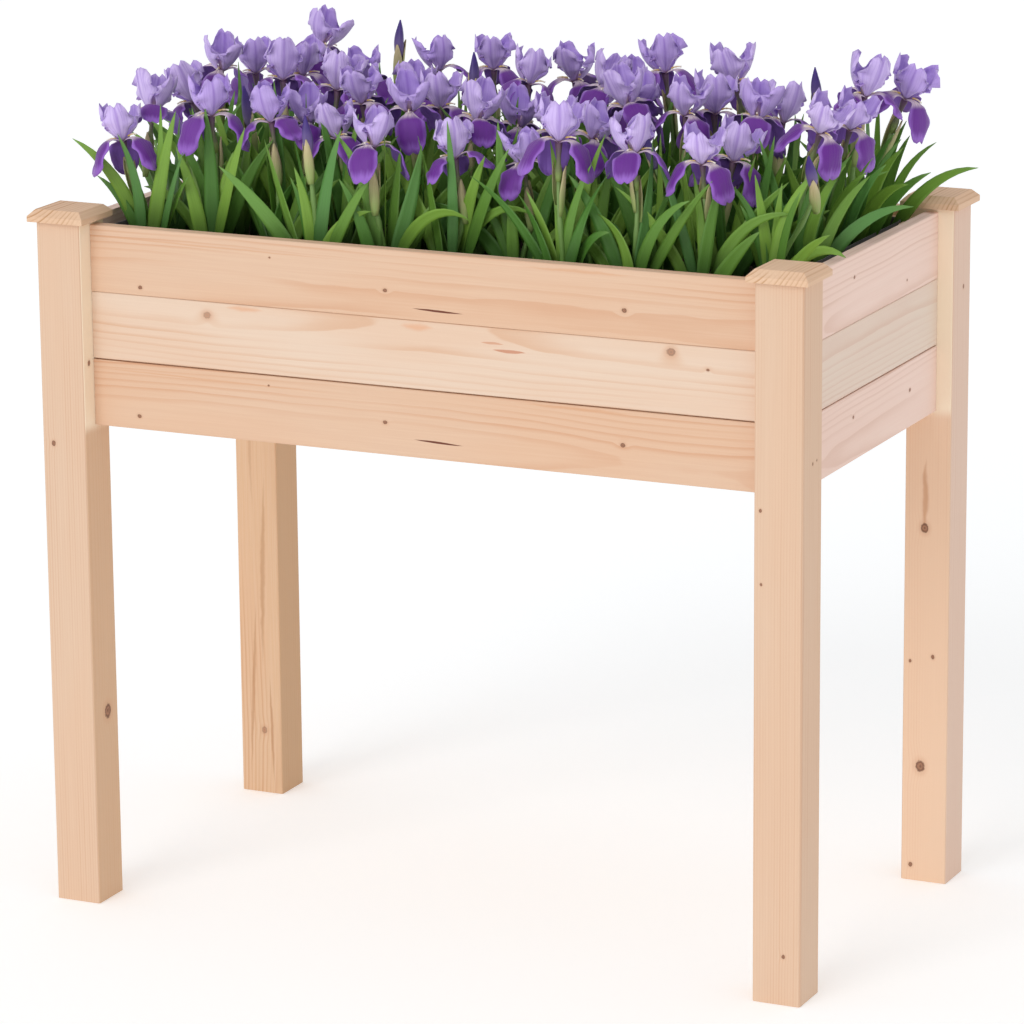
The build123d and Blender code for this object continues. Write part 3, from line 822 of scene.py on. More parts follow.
@dataclass
class Timber:
    """The wooden pieces: they keep their CAD shapes and get their grain, knots and tones, and some faces of
    the posts get painted light and shade.
    """

    groups: WoodGroups
    count: int = 0

    def dress(self, node: str, fir: Fir, lay: Lay, slot: str) -> None:
        """Gives a CAD node its wood.

        Args:
            node: the node's name.
            fir: the wood.
            lay: how the piece lies.
            slot: the start of the material's name.
        """
        low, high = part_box(node)
        self.count += 1
        material = fir.material(f"{slot}_{node}", (low + high) / 2, lay, self.count * 1.7, self.groups)
        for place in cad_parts[node].material_slots:
            place.material = material

    def legs(self) -> None:
        """Dresses the four posts, each with its own knots, and paints light and shade on some of their faces.
        """
        post = dict(base=tone(224, 192, 165), pale=tone(233, 204, 179), ring_width=3.1, pith_across=70.0,
                    pith_depth=-34.0, wander=2.2, ring_strength=0.42, blotch=0.22)
        lively = {**post, "ring_strength": 0.6, "wander": 5.0}
        bold = {**post, "base": tone(224, 186, 150), "ring_strength": 0.75, "ring_width": 5.0, "wander": 11.0,
                "pith_across": 22.0}
        looks = {
            "front_left": Fir(**post, marks_and_face_light=(
                # Front left: a darker right face is painted shade, and a pale band on the upper part of that
                # face is a painted highlight.
                PaintedFaceLight(-400, 25.6, tone(214, 176, 138), 0.6, side=True), PaintedFaceLight(155, 25.6, side=True),
                Knot(135.5, -13, 2.4), Knot(223.5, -14, 2.4, side=True), Knot(-164.5, 4, 6.5, side=True))),
            "front_right": Fir(**post, marks_and_face_light=(
                Knot(142.5, -19, 1.6), Knot(66.5, -18, 1.3), Knot(-322.5, 8, 1.8),
                Knot(188.5, 1, 1.5, side=True), Knot(190, 12, 1.2, side=True))),
            "back_right": Fir(**lively, marks_and_face_light=(
                # Back right: a paler front face with a pale upper band is painted light, and so is the paler,
                # pinker right face.
                PaintedFaceLight(-400, -25.6, tone(246, 210, 180), 0.6), PaintedFaceLight(155, -25.6),
                PaintedFaceLight(-400, 25.6, tone(232, 202, 186), 0.6, side=True),
                Knot(24.5, -3, 4.4), Knot(-118.5, 8, 2.0), Knot(-125.5, -18, 1.6), Knot(-243.5, -5, 5.2),
                Knot(-357, -15, 2.2), Knot(286, 5, 2.0, side=True),
                Streak(60, -3, 46, 5.5, tone(190, 130, 88), 0.55, softness=0.8))),
            "back_left": Fir(**bold, marks_and_face_light=(
                # Back left: a darker right face is painted shade.
                PaintedFaceLight(-400, 25.6, tone(196, 158, 120), 0.7, side=True), Knot(-299.5, 4, 3.4, dark=0.45),
                Streak(-110, 6, 130, 4.5, tone(186, 138, 98), 0.55, 0.03, 0.8),
                Streak(60, -8, 110, 3.2, tone(190, 142, 104), 0.4, -0.02, 0.8),
                Streak(-250, -9, 120, 3.0, tone(190, 138, 98), 0.6, 0.05, 0.8),
                Streak(-300, 14, 74, 2.6, tone(184, 130, 90), 0.6, -0.03, 0.8))),
        }
        for corner, fir in looks.items():
            self.dress(f"leg_{corner}", fir, Lay.POST, "leg_wood")
            log.info("leg_%s dressed", corner)

    def caps(self) -> None:
        """Dresses the four post caps, whose end grain shows at the front."""
        for number, corner in enumerate(("front_left", "front_right", "back_right", "back_left")):
            fir = Fir(base=tone(228, 192, 160), late=tone(196, 146, 104), pith_across=-44.0 - 6 * number,
                      pith_depth=-36.0, wander=1.6, ring_strength=1.0, blotch=0.2)
            self.dress(f"cap_{corner}", fir, Lay.SLAT, "cap_wood")
        self.dress("cap_dowels", Fir(base=tone(222, 190, 150)), Lay.POST, "dowel_wood")
        log.info("caps and dowels dressed")

    def boards(self) -> None:
        """Dresses the twelve wall boards."""
        twin = (Streak(-250, 23, 190, 1.6, tone(214, 158, 118), 0.45, -0.012, 0.9),
                Streak(180, 30, 75, 3.0, tone(216, 160, 120), 0.5, 0.0, 0.9))
        rosy = dict(base=tone(224, 188, 160), pale=tone(235, 205, 178), late=tone(208, 150, 112),
                    ring_strength=0.8, wander=9.0)
        light = dict(base=tone(230, 204, 182), pale=tone(238, 216, 195), late=tone(216, 168, 132),
                     ring_strength=0.72, ring_width=5.0, pith_across=30.0, pith_depth=-50.0, wander=9.0)
        slit, orange = tone(104, 46, 30), tone(226, 160, 116)
        front = {
            "upper": Fir(**rosy, marks_and_face_light=(
                Knot(-323, -27, 2.0), Knot(-36, -7, 2.0), Knot(232, -6, 2.3), Knot(-169, 17, 1.0),
                Streak(24, -24, 31, 1.3, slit, 0.95, -0.03), *twin)),
            "middle": Fir(**light, marks_and_face_light=(
                Knot(-244, 19, 3.6, dark=0.4), Knot(283, 25, 4.0, dark=0.55), Knot(323, 10, 1.4),
                Streak(-200, 29, 26, 4.5, orange, 0.5, 0.0, 0.9),
                Streak(0, 27, 22, 6.0, orange, 0.5, 0.0, 0.9),
                Streak(85, 17, 14, 1.5, tone(206, 138, 104), 0.6),
                Streak(104, 10, 20, 2.2, tone(196, 120, 84), 0.7))),
            "lower": Fir(**rosy, marks_and_face_light=(
                Knot(-328, -24, 2.0), Knot(-38, -4, 2.0), Knot(230, -3, 2.3), Knot(-173, 23, 1.0),
                Streak(23, -20, 30, 1.3, slit, 0.95, -0.03), *twin)),
        }
        back = {}
        for level, look, shift, spot in (("upper", rosy, 30.0, 190.0), ("middle", light, -28.0, -120.0),
                                         ("lower", rosy, -20.0, 260.0)):
            knots = (Knot(spot, 8, 2.4), Knot(-spot / 2, -14, 1.8))
            back[level] = Fir(**{**look, "pith_across": shift}, marks_and_face_light=knots)
        cool = dict(base=tone(244, 213, 199), pale=tone(248, 225, 211), warm=tone(232, 196, 178),
                    late=tone(214, 172, 150), ring_width=4.2, wander=8.0)
        grey = {**cool, "base": tone(232, 213, 196), "pale": tone(240, 224, 208)}
        end = {
            "upper": Fir(**cool, marks_and_face_light=(Knot(-56, 12, 1.7), Knot(96, -20, 1.2))),
            "middle": Fir(**grey, pith_across=26.0),
            "lower": Fir(**cool, marks_and_face_light=(Knot(-56, 8, 1.7), Knot(108, 2, 2.0))),
        }
        sides = (("front", front, Lay.FRONT), ("back", back, Lay.FRONT),
                 ("right", end, Lay.END), ("left", end, Lay.END))
        for level in front:
            for side, looks, lay in sides:
                self.dress(f"board_{side}_{level}", looks[level], lay, "board_wood")
            log.info("%s boards dressed", level)

    def inner_frame(self) -> None:
        """Dresses the battens, the floor rails, the bearer and the slats."""
        rough = Fir(base=tone(226, 190, 154), late=tone(196, 144, 104), ring_width=3.6, blotch=0.35)
        for side in ("front", "back", "left", "right"):
            for number in (1, 2):
                self.dress(f"batten_{side}_{number}", rough, Lay.POST, "inner_wood")
            lay = Lay.RAIL if side in ("front", "back") else Lay.CROSS_RAIL
            self.dress(f"floor_rail_{side}", rough, lay, "inner_wood")
        self.dress("floor_bearer", rough, Lay.RAIL, "inner_wood")
        slats = [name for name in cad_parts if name.startswith("floor_slat_")]
        for number, name in enumerate(sorted(slats)):
            fir = Fir(base=tone(228, 193, 158), pith_across=-30.0 + 9 * number,
                      marks_and_face_light=(Knot(-120 + 34 * number, 14 - 4 * number, 2.6),))
            self.dress(name, fir, Lay.SLAT, "inner_wood")
        log.info("battens, rails, bearer and %d slats dressed", len(slats))


# ---------------------------------------------------------------- screws


@dataclass
class Fasteners:
    """The screws, with domed heads and cross recesses."""

    placing: bpy.types.NodeTree
    head_radius: float = 3.6 * MM
    head_height: float = 2.1 * MM
    shank_radius: float = 1.8 * MM
    recess_reach: float = 1.9 * MM
    recess_half_width: float = 0.7 * MM
    recess_depth: float = 1.3 * MM
    sides: int = 16

    def steel(self) -> bpy.types.Material:
        """Builds the zinc-plated steel."""
        material, graph, shader = start_material("zinc_plated_steel")
        spangle = graph.noise(graph.place(), 900.0, 1.0)
        colour = graph.mix(spangle, tone(176, 172, 160), tone(206, 202, 188))
        graph.dress(shader, colour, graph.line(spangle, 0.2, 0.28), Metallic=1.0)
        return material

    def recess_outline(self, angle: float) -> float:
        """Returns how far the cross recess reaches in a direction."""
        off_axis = (angle + math.pi / 4) % (math.pi / 2) - math.pi / 4
        wide = self.recess_half_width / max(abs(math.sin(off_axis)), 1e-6)
        return min(self.recess_reach / math.cos(off_axis), wide)

    def form(self, length: float) -> bpy.types.Object:
        """Models one screw of that length, its head's top at the origin and its point down."""
        angles = np.linspace(0, math.tau, self.sides, endpoint=False)
        rim = self.head_radius
        rings = turned(((0.3 * MM, -length), (self.shank_radius, -length + 4 * MM),
                        (self.shank_radius, -self.head_height), (rim * 0.97, -self.head_height),
                        (rim, -self.head_height * 0.75), (rim * 0.82, -0.2 * MM)), angles)
        for share, z in ((1.0, 0.0), (0.75, -self.recess_depth)):
            outline = [self.recess_outline(a) * share for a in angles]
            rings.append([(r * math.cos(a), r * math.sin(a), z) for r, a in zip(outline, angles)])
        return lofted("screw_form", rings)

    def build(self) -> None:
        """Sets a screw in the place of every CAD screw, one piece for each CAD node."""
        steel = self.steel()
        nodes = sorted(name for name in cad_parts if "_screws" in name)
        for node in nodes:
            places = Places()
            length = 0.0
            for number, solid in enumerate(solids_of(node)):
                low, high = solid.min(0), solid.max(0)
                axis = int(np.argmax(high - low))
                length = float((high - low)[axis])
                middle = (low + high) / 2
                radial = np.linalg.norm(np.delete(solid - middle, axis, 1), axis=1)
                head_at_high = solid[np.argmax(radial)][axis] > middle[axis]
                point = Vector(middle)
                point[axis] = high[axis] if head_at_high else low[axis]
                way = Vector((0, 0, 0))
                way[axis] = 1.0 if head_at_high else -1.0
                spin = Matrix.Rotation(number * 2.4, 4, "Z")
                turn = (way.to_track_quat("Z", "Y").to_matrix().to_4x4() @ spin).to_euler()
                places.mark(point, turn)
            piece = places.fill(f"{node}_zinc", [self.form(length)], steel, self.placing)
            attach(piece, PLANTER)
            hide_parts(node)
            log.info("%s: %d screws", piece.name, len(places.points))


# ---------------------------------------------------------------- liner and growing medium


@dataclass
class Bag:
    """The felt liner and the growing medium in it."""

    scattering: bpy.types.NodeTree
    felt_thickness: float = 1.5 * MM
    corner_radius: float = 23.2 * MM
    bulge: float = 4.0 * MM
    ripple: float = 0.35 * MM
    post_room: float = 34 * MM
    lump: float = 5.0 * MM
    chip_density: float = 5200.0
    seed: int = 11

    def outline(self, half: Sequence[float], radius: float, per_metre: float = 90.0) -> np.ndarray:
        """Returns the points of a rounded rectangle, right-handed about Z.

        Args:
            half: half its length and half its width.
            radius: the radius of its corners.
            per_metre: points for each metre of straight side.

        Returns:
            The points, two numbers each.
        """
        points = []
        for quarter in range(4):
            sx, sy = ((1, 1), (-1, 1), (-1, -1), (1, -1))[quarter]
            centre = np.array([sx * (half[0] - radius), sy * (half[1] - radius)])
            for step in range(7):
                angle = quarter * math.pi / 2 + step * math.pi / 12
                points.append(centre + radius * np.array([math.cos(angle), math.sin(angle)]))
            long_side = quarter % 2 == 0
            run = 2 * ((half[0] if long_side else half[1]) - radius)
            count = int(run * per_metre)
            way = np.array([-sx, 0]) if long_side else np.array([0, -sy])
            for step in range(1, count):
                points.append(points[-step] + way * run * step / count)
        return np.array(points)

    def felt(self) -> bpy.types.Material:
        """Builds the black felt, with pale flecks and a soft nap."""
        material, graph, shader = start_material("black_felt")
        where = graph.place()
        nap = graph.noise(where, 1400.0, 2.0, 4.0, 0.7)
        cloud = graph.noise(where, 60.0, 4.0, 3.0)
        dark = graph.mix(cloud, tone(30, 28, 26), tone(46, 43, 40))
        colour = graph.mix(graph.smooth(nap, 0.55, 0.8), dark, tone(80, 76, 72))
        graph.dress(shader, colour, 0.95, Sheen_Weight=0.3)
        graph.bump(shader, 0.6, 0.6 * MM, nap)
        return material

    def compost(self) -> bpy.types.Material:
        """Builds the dark growing medium."""
        material, graph, shader = start_material("compost")
        where = graph.place()
        crumb = graph.noise(where, 260.0, 1.0, 5.0, 0.65)
        damp = graph.smooth(graph.noise(where, 18.0, 6.0), 0.35, 0.7)
        colour = graph.mix(crumb, tone(26, 18, 12), tone(74, 54, 38))
        graph.dress(shader, graph.tint(damp, 0.5, colour, tone(22, 16, 12)), 0.92)
        graph.bump(shader, 0.9, 2 * MM, crumb)
        return material

    def bark(self) -> bpy.types.Material:
        """Builds the bark and fibre chips on top."""
        material, graph, shader = start_material("bark_chips")
        where = graph.place()
        patch = graph.noise(where, 70.0, 1.0, 1.0)
        grain = graph.noise(graph.stretch(where, 150.0, 700.0), 1.0, 2.0, 3.0)
        colour = graph.mix(graph.smooth(patch, 0.35, 0.65), tone(44, 29, 19), tone(104, 74, 50))
        graph.dress(shader, graph.tint(grain, 0.5, colour, tone(30, 20, 14)), 0.85)
        return material

    def build_liner(self) -> bpy.types.Object:
        """Folds the felt bag: up the outside, over the rim and down the inside.

        Returns:
            The liner.
        """
        low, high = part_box("liner")
        half = ((high.x - low.x) / 2, (high.y - low.y) / 2)
        plan = self.outline(half, self.corner_radius)
        clear_x, clear_y = half[0] - self.post_room, half[1] - self.post_room
        at_end = abs(plan[:, 0]) > clear_x + 20 * MM
        free = np.where(at_end, soft_step(clear_y - abs(plan[:, 1]), 0, 60 * MM),
                        soft_step(clear_x - abs(plan[:, 0]), 0, 80 * MM))
        outward = np.where(at_end[:, None], [[1.0, 0.0]], [[0.0, 1.0]]) * np.sign(plan)
        tall = high.z - low.z

        def ring(share: float, height: float, inset: float) -> np.ndarray:
            """Returns the plan scaled by share, pushed in by inset, at a height above the bag's foot."""
            flat = plan * np.array([(half[0] - inset) / half[0], (half[1] - inset) / half[1]]) * share
            at_wall = share > 0.99
            swell = self.bulge * math.sin(math.pi * np.clip(height / tall, 0, 1)) * free[:, None] * at_wall
            ripple = self.ripple * np.sin(plan[:, :1] * 190 + plan[:, 1:] * 240 + height * 60) * at_wall
            flat = flat + outward * (swell + ripple * free[:, None])
            return np.column_stack([flat, np.full(len(flat), low.z + height)])

        walls = np.linspace(6 * MM, tall, 12)
        floor_shares = (0.05, 0.35, 0.65, 0.9)
        rings = [ring(s, 0.0, 0.0) for s in floor_shares]
        rings += [ring(1.0, 0.0, 3 * MM), ring(1.0, 2 * MM, 0.6 * MM)]
        rings += [ring(1.0, h, 0.0) for h in walls]
        rings += [ring(1.0, h - 0.2 * MM * (h == tall), self.felt_thickness) for h in walls[::-1]]
        rings += [ring(1.0, self.felt_thickness, 4 * MM)]
        rings += [ring(s, self.felt_thickness, self.felt_thickness) for s in floor_shares[::-1]]
        piece = lofted("felt_liner", rings, self.felt())
        wide, deep = high.x - low.x, high.y - low.y
        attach(piece, PLANTING)
        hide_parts("liner")
        log.info("%s: cut %.3f x %.3f m", piece.name, wide + 2 * tall, deep + 2 * tall)
        return piece

    def chip(self) -> bpy.types.Object:
        """Models one small flake of bark, a few faces."""
        rng = np.random.default_rng(self.seed)
        angles = np.linspace(0, math.tau, 6, endpoint=False)
        rings = []
        for height, radius in ((-0.5, 0.75), (0.0, 1.0), (0.5, 0.65)):
            reach = radius * rng.uniform(0.75, 1.15, 6)
            rings.append(np.column_stack([1.6 * reach * np.cos(angles), reach * np.sin(angles),
                                          height * rng.uniform(0.7, 1.1, 6)]))
        return lofted("chip_form", np.array(rings) * MM)

    def build_medium(self) -> bpy.types.Object:
        """Fills the bag with growing medium, lumpy on top, and strews bark on it.

        Returns:
            The growing medium.
        """
        low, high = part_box("growing_medium")
        half = ((high.x - low.x) / 2, (high.y - low.y) / 2)
        plan = self.outline(half, self.corner_radius)
        rng = np.random.default_rng(self.seed)
        waves = [(rng.uniform(20, 130), rng.uniform(20, 130), rng.uniform(0, math.tau)) for _ in range(9)]

        def ring(share: float, height: float, lumpy: bool) -> np.ndarray:
            """Returns the plan scaled by share at a height, with lumps if it is the top."""
            flat = plan * share
            rise = sum(np.sin(a * flat[:, 0] + b * flat[:, 1] + c) for a, b, c in waves) / 9
            return np.column_stack([flat, height + self.lump * (rise - 0.5) * lumpy])

        rings = [ring(0.05, low.z, False), ring(0.995, low.z, False), ring(1.0, low.z + 2 * MM, False),
                 ring(1.0, high.z - 4 * MM, False)]
        rings += [ring(share, high.z, True) for share in np.linspace(0.995, 0.02, 34)]
        piece = lofted("compost_fill", rings, self.compost())
        inputs = {"Form": self.chip(), "Density": self.chip_density, "Smallest": 1.2, "Largest": 3.4,
                  "Seed": self.seed, "Finish": self.bark()}
        top = lofted("strewn_top", [ring(share, high.z, True) for share in np.linspace(0.99, 0.02, 30)])
        chips = grown("bark_chips", top, self.scattering, inputs)
        bpy.data.objects.remove(inputs["Form"])
        for part in (piece, chips):
            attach(part, PLANTING)
            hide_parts("growing_medium")
        log.info("%s and %s: %d faces of bark", piece.name, chips.name, len(chips.data.polygons))
        return piece


# ---------------------------------------------------------------- irises


@dataclass(frozen=True)
class Plant:
    """One iris: where it grows and where its head is."""

    foot: Vector
    head: Vector
    tilt: Euler
    size: float
    form: int
    tint: float
    in_bud: bool


@dataclass
class IrisBed:
    """The irises: stalks, sword leaves, spathes, buds and blooms."""

    placing: bpy.types.NodeTree
    radius: float = 33 * MM
    root_depth: float = 8 * MM
    head_drop: float = 7 * MM
    flattening: float = 0.16
    splay: float = 24 * MM
    leaves_each: int = 9
    leaf_length: float = 144 * MM
    fan_half_width: float = 9 * MM
    fan_lean: float = math.radians(28)
    fan_arch: float = math.radians(24)
    seed: int = 29
    plants: list[Plant] = field(default_factory=list)

    def petal(self, rib: Sequence[Sequence[float]], widths: np.ndarray, cup: float, ruffle: float,
              phase: float, rounding: float = 0.0, columns: int = 9) -> np.ndarray:
        """Lays a petal's grid round its rib, in the plane of X outwards and Z up.

        Args:
            rib: four points of outward and up, in bloom radii.
            widths: the half width at each row, in bloom radii.
            cup: how far the sides curl towards the rib's normal, in radians; under 0 they curl away.
            ruffle: the waves of the edge, in bloom radii.
            phase: where the waves start.
            rounding: how far the corners of the tip are drawn back, in bloom radii.
            columns: points across.

        Returns:
            The grid, in metres.
        """
        rows = len(widths)
        line = bezier([(x, 0.0, z) for x, z in rib], rows)
        way = np.gradient(line, axis=0)
        way /= np.linalg.norm(way, axis=1, keepdims=True)
        normal = np.cross(way, (0.0, 1.0, 0.0))
        across = np.linspace(-1, 1, columns)
        bend = abs(cup)
        sideways = widths[:, None] * np.sin(bend * across)[None] / bend
        lift = math.copysign(1, cup) * widths[:, None] * (1 - np.cos(bend * across))[None] / bend
        share = np.linspace(0, 1, rows)[:, None]
        edge = np.abs(across)[None] ** 2 * soft_step(share, 0.15, 0.5)
        wave = ruffle * edge * np.sin(share * 15 + phase + np.sign(across)[None] * 1.3)
        wave = wave + ruffle * 0.8 * share ** 6 * np.sin(across[None] * 5.5 + phase)
        crease = -0.06 * widths[:, None] * np.exp(-(across[None] / 0.16) ** 2)
        notch = 0.3 * np.exp(-(across[None] / 0.15) ** 2)
        back = rounding * share ** 4 * (np.abs(across)[None] ** 2.6 + notch)
        grid = line[:, None] + normal[:, None] * (lift + wave + crease)[..., None]
        grid = grid - way[:, None] * back[..., None] + np.array([0.0, 1.0, 0.0]) * sideways[..., None]
        return grid * self.radius

    def whorl(self, shells: Iterable[tuple[np.ndarray, float]], start: float, thickness: float,
              jitter: np.random.Generator) -> Gathered:
        """Sets three petals round the bloom's axis.

        Args:
            shells: the three grids, each with its own tilt in radians.
            start: the turn of the first one.
            thickness: of the petals, in metres.
            jitter: the source of small differences.

        Returns:
            The gathered petals.
        """
        ring = Gathered()
        for number, (grid, tilt) in enumerate(shells):
            angle = start + number * math.tau / 3 + jitter.normal(0, 0.07)
            turn = np.array(Matrix.Rotation(angle, 3, "Z") @ Matrix.Rotation(tilt, 3, "Y"))
            ring.add(closed_sheet(grid @ turn.T, thickness))
        return ring

    def standards(self, variant: int) -> bpy.types.Object:
        """Models the three upright petals, narrow at the foot and broad and wavy at the top."""
        rng = np.random.default_rng(100 + variant)
        share = np.linspace(0, 1, 15)
        shells = []
        for _ in range(3):
            wide = rng.uniform(0.42, 0.5)
            widths = 0.07 + wide * soft_step(share, 0.02, 0.62) - 0.1 * soft_step(share, 0.72, 1)
            top, flare = rng.uniform(1.08, 1.3), rng.uniform(0.36, 0.7)
            rib = ((0.05, 0.0), (0.34, 0.22), (0.66, 0.64), (flare, top))
            cup, ruffle = rng.uniform(0.75, 1.1), rng.uniform(0.08, 0.12)
            grid = self.petal(rib, widths, cup, ruffle, rng.uniform(0, 6), 0.5)
            shells.append((grid, rng.normal(0.0, 0.08)))
        return self.whorl(shells, math.pi / 3, 0.5 * MM, rng).make("standards_form")

    def fall_rib(self, variant: int) -> tuple[tuple[float, float], ...]:
        """Returns the rib of a fall, which arches out and then hangs."""
        drop = (-0.78, -0.92, -0.62)[variant]
        return (0.05, 0.04), (0.46, 0.3), (0.9, 0.12), (1.12, drop)

    def falls(self, variant: int) -> bpy.types.Object:
        """Models the three hanging petals."""
        rng = np.random.default_rng(200 + variant)
        share = np.linspace(0, 1, 16)
        shells = []
        for _ in range(3):
            wide = rng.uniform(0.29, 0.36)
            widths = 0.13 + wide * soft_step(share, 0.2, 0.62) - 0.06 * soft_step(share, 0.85, 1)
            cup, ruffle = -rng.uniform(0.4, 0.75), rng.uniform(0.035, 0.06)
            grid = self.petal(self.fall_rib(variant), widths, cup, ruffle, rng.uniform(0, 6), 0.3)
            shells.append((grid, rng.normal(0.0, 0.09)))
        return self.whorl(shells, 0.0, 0.55 * MM, rng).make("falls_form")

    def style_arms(self, variant: int) -> bpy.types.Object:
        """Models the three short arms that arch over the falls' bases."""
        rng = np.random.default_rng(300 + variant)
        share = np.linspace(0, 1, 7)
        widths = 0.07 + 0.1 * share ** 2
        rib = ((0.02, 0.06), (0.14, 0.36), (0.34, 0.48), (0.54, 0.44))
        shells = [(self.petal(rib, widths, 0.9, 0.03, rng.uniform(0, 6), 0.08, 5), rng.normal(0, 0.05))
                  for _ in range(3)]
        return self.whorl(shells, 0.0, 0.5 * MM, rng).make("style_arms_form")

    def beards(self, variant: int) -> bpy.types.Object:
        """Models the three furry strips on the falls' bases."""
        shape = Gathered()
        rib = bezier([(x, 0.0, z) for x, z in self.fall_rib(variant)], 24)[3:10]
        bumps = 0.024 + 0.006 * np.sin(np.arange(len(rib)) * 2.5)
        path = (rib + (0.0, 0.0, 0.022)) * self.radius
        rings = tube_rings(path, bumps * self.radius, 6)
        for number in range(3):
            turn = np.array(Matrix.Rotation(number * math.tau / 3, 3, "Z"))
            points, faces, values = closed_loft(rings)
            shape.add((points @ turn.T, faces, values))
        return shape.make("beards_form")

    def throat(self, _: int) -> bpy.types.Object:
        """Models the bloom's tube and the ovary under it, the same in every variant."""
        profile = ((0.02, 0.1), (0.11, 0.05), (0.1, -0.1), (0.065, -0.35), (0.06, -0.55), (0.1, -0.72),
                   (0.105, -0.85), (0.08, -1.05))
        rings = turned(profile, np.linspace(0, -math.tau, 9, endpoint=False))
        return lofted("throat_form", np.array(rings) * self.radius)

    def spathes(self, variant: int) -> bpy.types.Object:
        """Models the two papery sheaths below a bloom."""
        rng = np.random.default_rng(400 + variant)
        share = np.linspace(0, 1, 8)
        shape = Gathered()
        for number, (foot, tip) in enumerate(((-2.0, -0.62), (-1.7, -0.45))):
            widths = 0.19 * np.sin(math.pi * (0.16 + 0.84 * share) * 0.985) ** 0.8 + 0.012
            out = rng.uniform(0.14, 0.24)
            rib = ((0.1, foot), (0.17, foot * 0.7 + tip * 0.3), (0.19, foot * 0.3 + tip * 0.7), (out, tip))
            grid = self.petal(rib, widths, 1.15, 0.012, rng.uniform(0, 6), 0.0, 7)
            turn = np.array(Matrix.Rotation(number * math.pi + rng.normal(0, 0.3), 3, "Z"))
            shape.add(closed_sheet(grid @ turn.T, 0.45 * MM))
        return shape.make("spathes_form")

    def bud(self, variant: int) -> bpy.types.Object:
        """Models a furled bud: a twisted point that stands in its sheath."""
        share = np.linspace(0, 1, 12)
        angles = np.linspace(0, math.tau, 12, endpoint=False)
        radii = 5.6 * MM * np.sin(math.pi * (0.12 + 0.86 * share)) ** 0.9 * (1 - 0.3 * share) + 0.3 * MM
        rings = []
        for r, t in zip(radii, share):
            furl = r * (1 + 0.16 * np.cos(3 * angles + 3.6 * t + variant))
            rings.append(np.column_stack([furl * np.cos(angles), furl * np.sin(angles),
                                          np.full(len(angles), (42 * t - 4) * MM)]))
        return lofted("bud_form", rings)

    def survey(self) -> None:
        """Reads where each iris grows and blooms from the frame, and leans it a little."""
        rng = np.random.default_rng(self.seed)
        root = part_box("growing_medium")[1].z - self.root_depth
        heads = [(solid, False) for solid in solids_of("iris_blooms")]
        heads += [(solid, True) for solid in solids_of("iris_buds")]
        reach = max(abs(solid.mean(0)[0]) for solid, _ in heads)
        lowest = min(float(solid[:, 2].min()) for solid, _ in heads)
        for stem in solids_of("iris_stems"):
            foot = Vector(((stem[:, 0].min() + stem[:, 0].max()) / 2,
                           (stem[:, 1].min() + stem[:, 1].max()) / 2, root))
            solid, in_bud = min(heads, key=lambda head: np.linalg.norm(
                ((head[0].min(0) + head[0].max(0)) / 2)[:2] - foot.xy))
            low = float(solid[:, 2].min())
            outer = max(0.0, (abs(foot.x) / reach - 0.9) * 10) * math.copysign(1, foot.x)
            shift = Vector((rng.normal(0, 7 * MM) + outer * self.splay, rng.normal(0, 6 * MM),
                            rng.normal(-self.head_drop, 4 * MM) - self.flattening * (low - lowest)))
            head = Vector((foot.x, foot.y, low + (0.0 if in_bud else 0.84 * self.radius))) + shift
            lean = shift.x / (head.z - foot.z)
            faces = math.radians(-5 if rng.uniform() < 0.6 else -65) + rng.normal(0, 0.35)
            tilt = Euler((rng.normal(0, 0.13), lean * 1.3 + rng.normal(0, 0.12), faces))
            self.plants.append(Plant(foot, head, tilt, float(rng.uniform(1.0, 1.15)), int(rng.integers(3)),
                                     float(rng.uniform()), in_bud))
        in_bud = sum(plant.in_bud for plant in self.plants)
        log.info("%d irises surveyed, %d of them in bud", len(self.plants), in_bud)

    def blade(self, foot: Vector, azimuth: float, lean: float, arch: float, length: float, half_width: float,
              twist: float) -> Shell:
        """Shapes one sword leaf.

        Args:
            foot: where it leaves the soil.
            azimuth: the direction that it leans to, in radians about Z.
            lean: from upright at its foot, in radians.
            arch: how much further it leans at its tip, in radians.
            length: in metres.
            half_width: at its widest, in metres.
            twist: how far its flat turns towards the tip, in radians.

        Returns:
            The closed leaf.
        """
        share = np.linspace(0, 1, 13)
        angle = lean + arch * share ** 1.7
        out = np.array([math.cos(azimuth), math.sin(azimuth), 0.0])
        up = np.array([0.0, 0.0, 1.0])
        flank = np.cross(out, up)
        way = np.sin(angle)[:, None] * out + np.cos(angle)[:, None] * up
        steps = np.vstack([np.zeros(3), (way[1:] + way[:-1]) / 2 * length / 12])
        line = np.array(foot) + np.cumsum(steps, axis=0)
        wide = np.cos(angle)[:, None] * out - np.sin(angle)[:, None] * up
        roll = (twist * share ** 1.5)[:, None]
        wide, thin = wide * np.cos(roll) + flank * np.sin(roll), flank * np.cos(roll) - wide * np.sin(roll)
        half = half_width * (0.6 + 0.4 * soft_step(share, 0, 0.35)) * (1 - share ** 2.4) ** 0.85 + 0.25 * MM
        across = np.linspace(-1, 1, 5)
        grid = line[:, None] + wide[:, None] * (half[:, None] * across)[..., None]
        grid = grid + thin[:, None] * (0.16 * half[:, None] * np.abs(across))[..., None]
        thickness = (0.3 + 1.1 * (1 - across ** 2))[None] * (1 - 0.7 * share)[:, None] * MM
        return closed_sheet(grid, thickness)

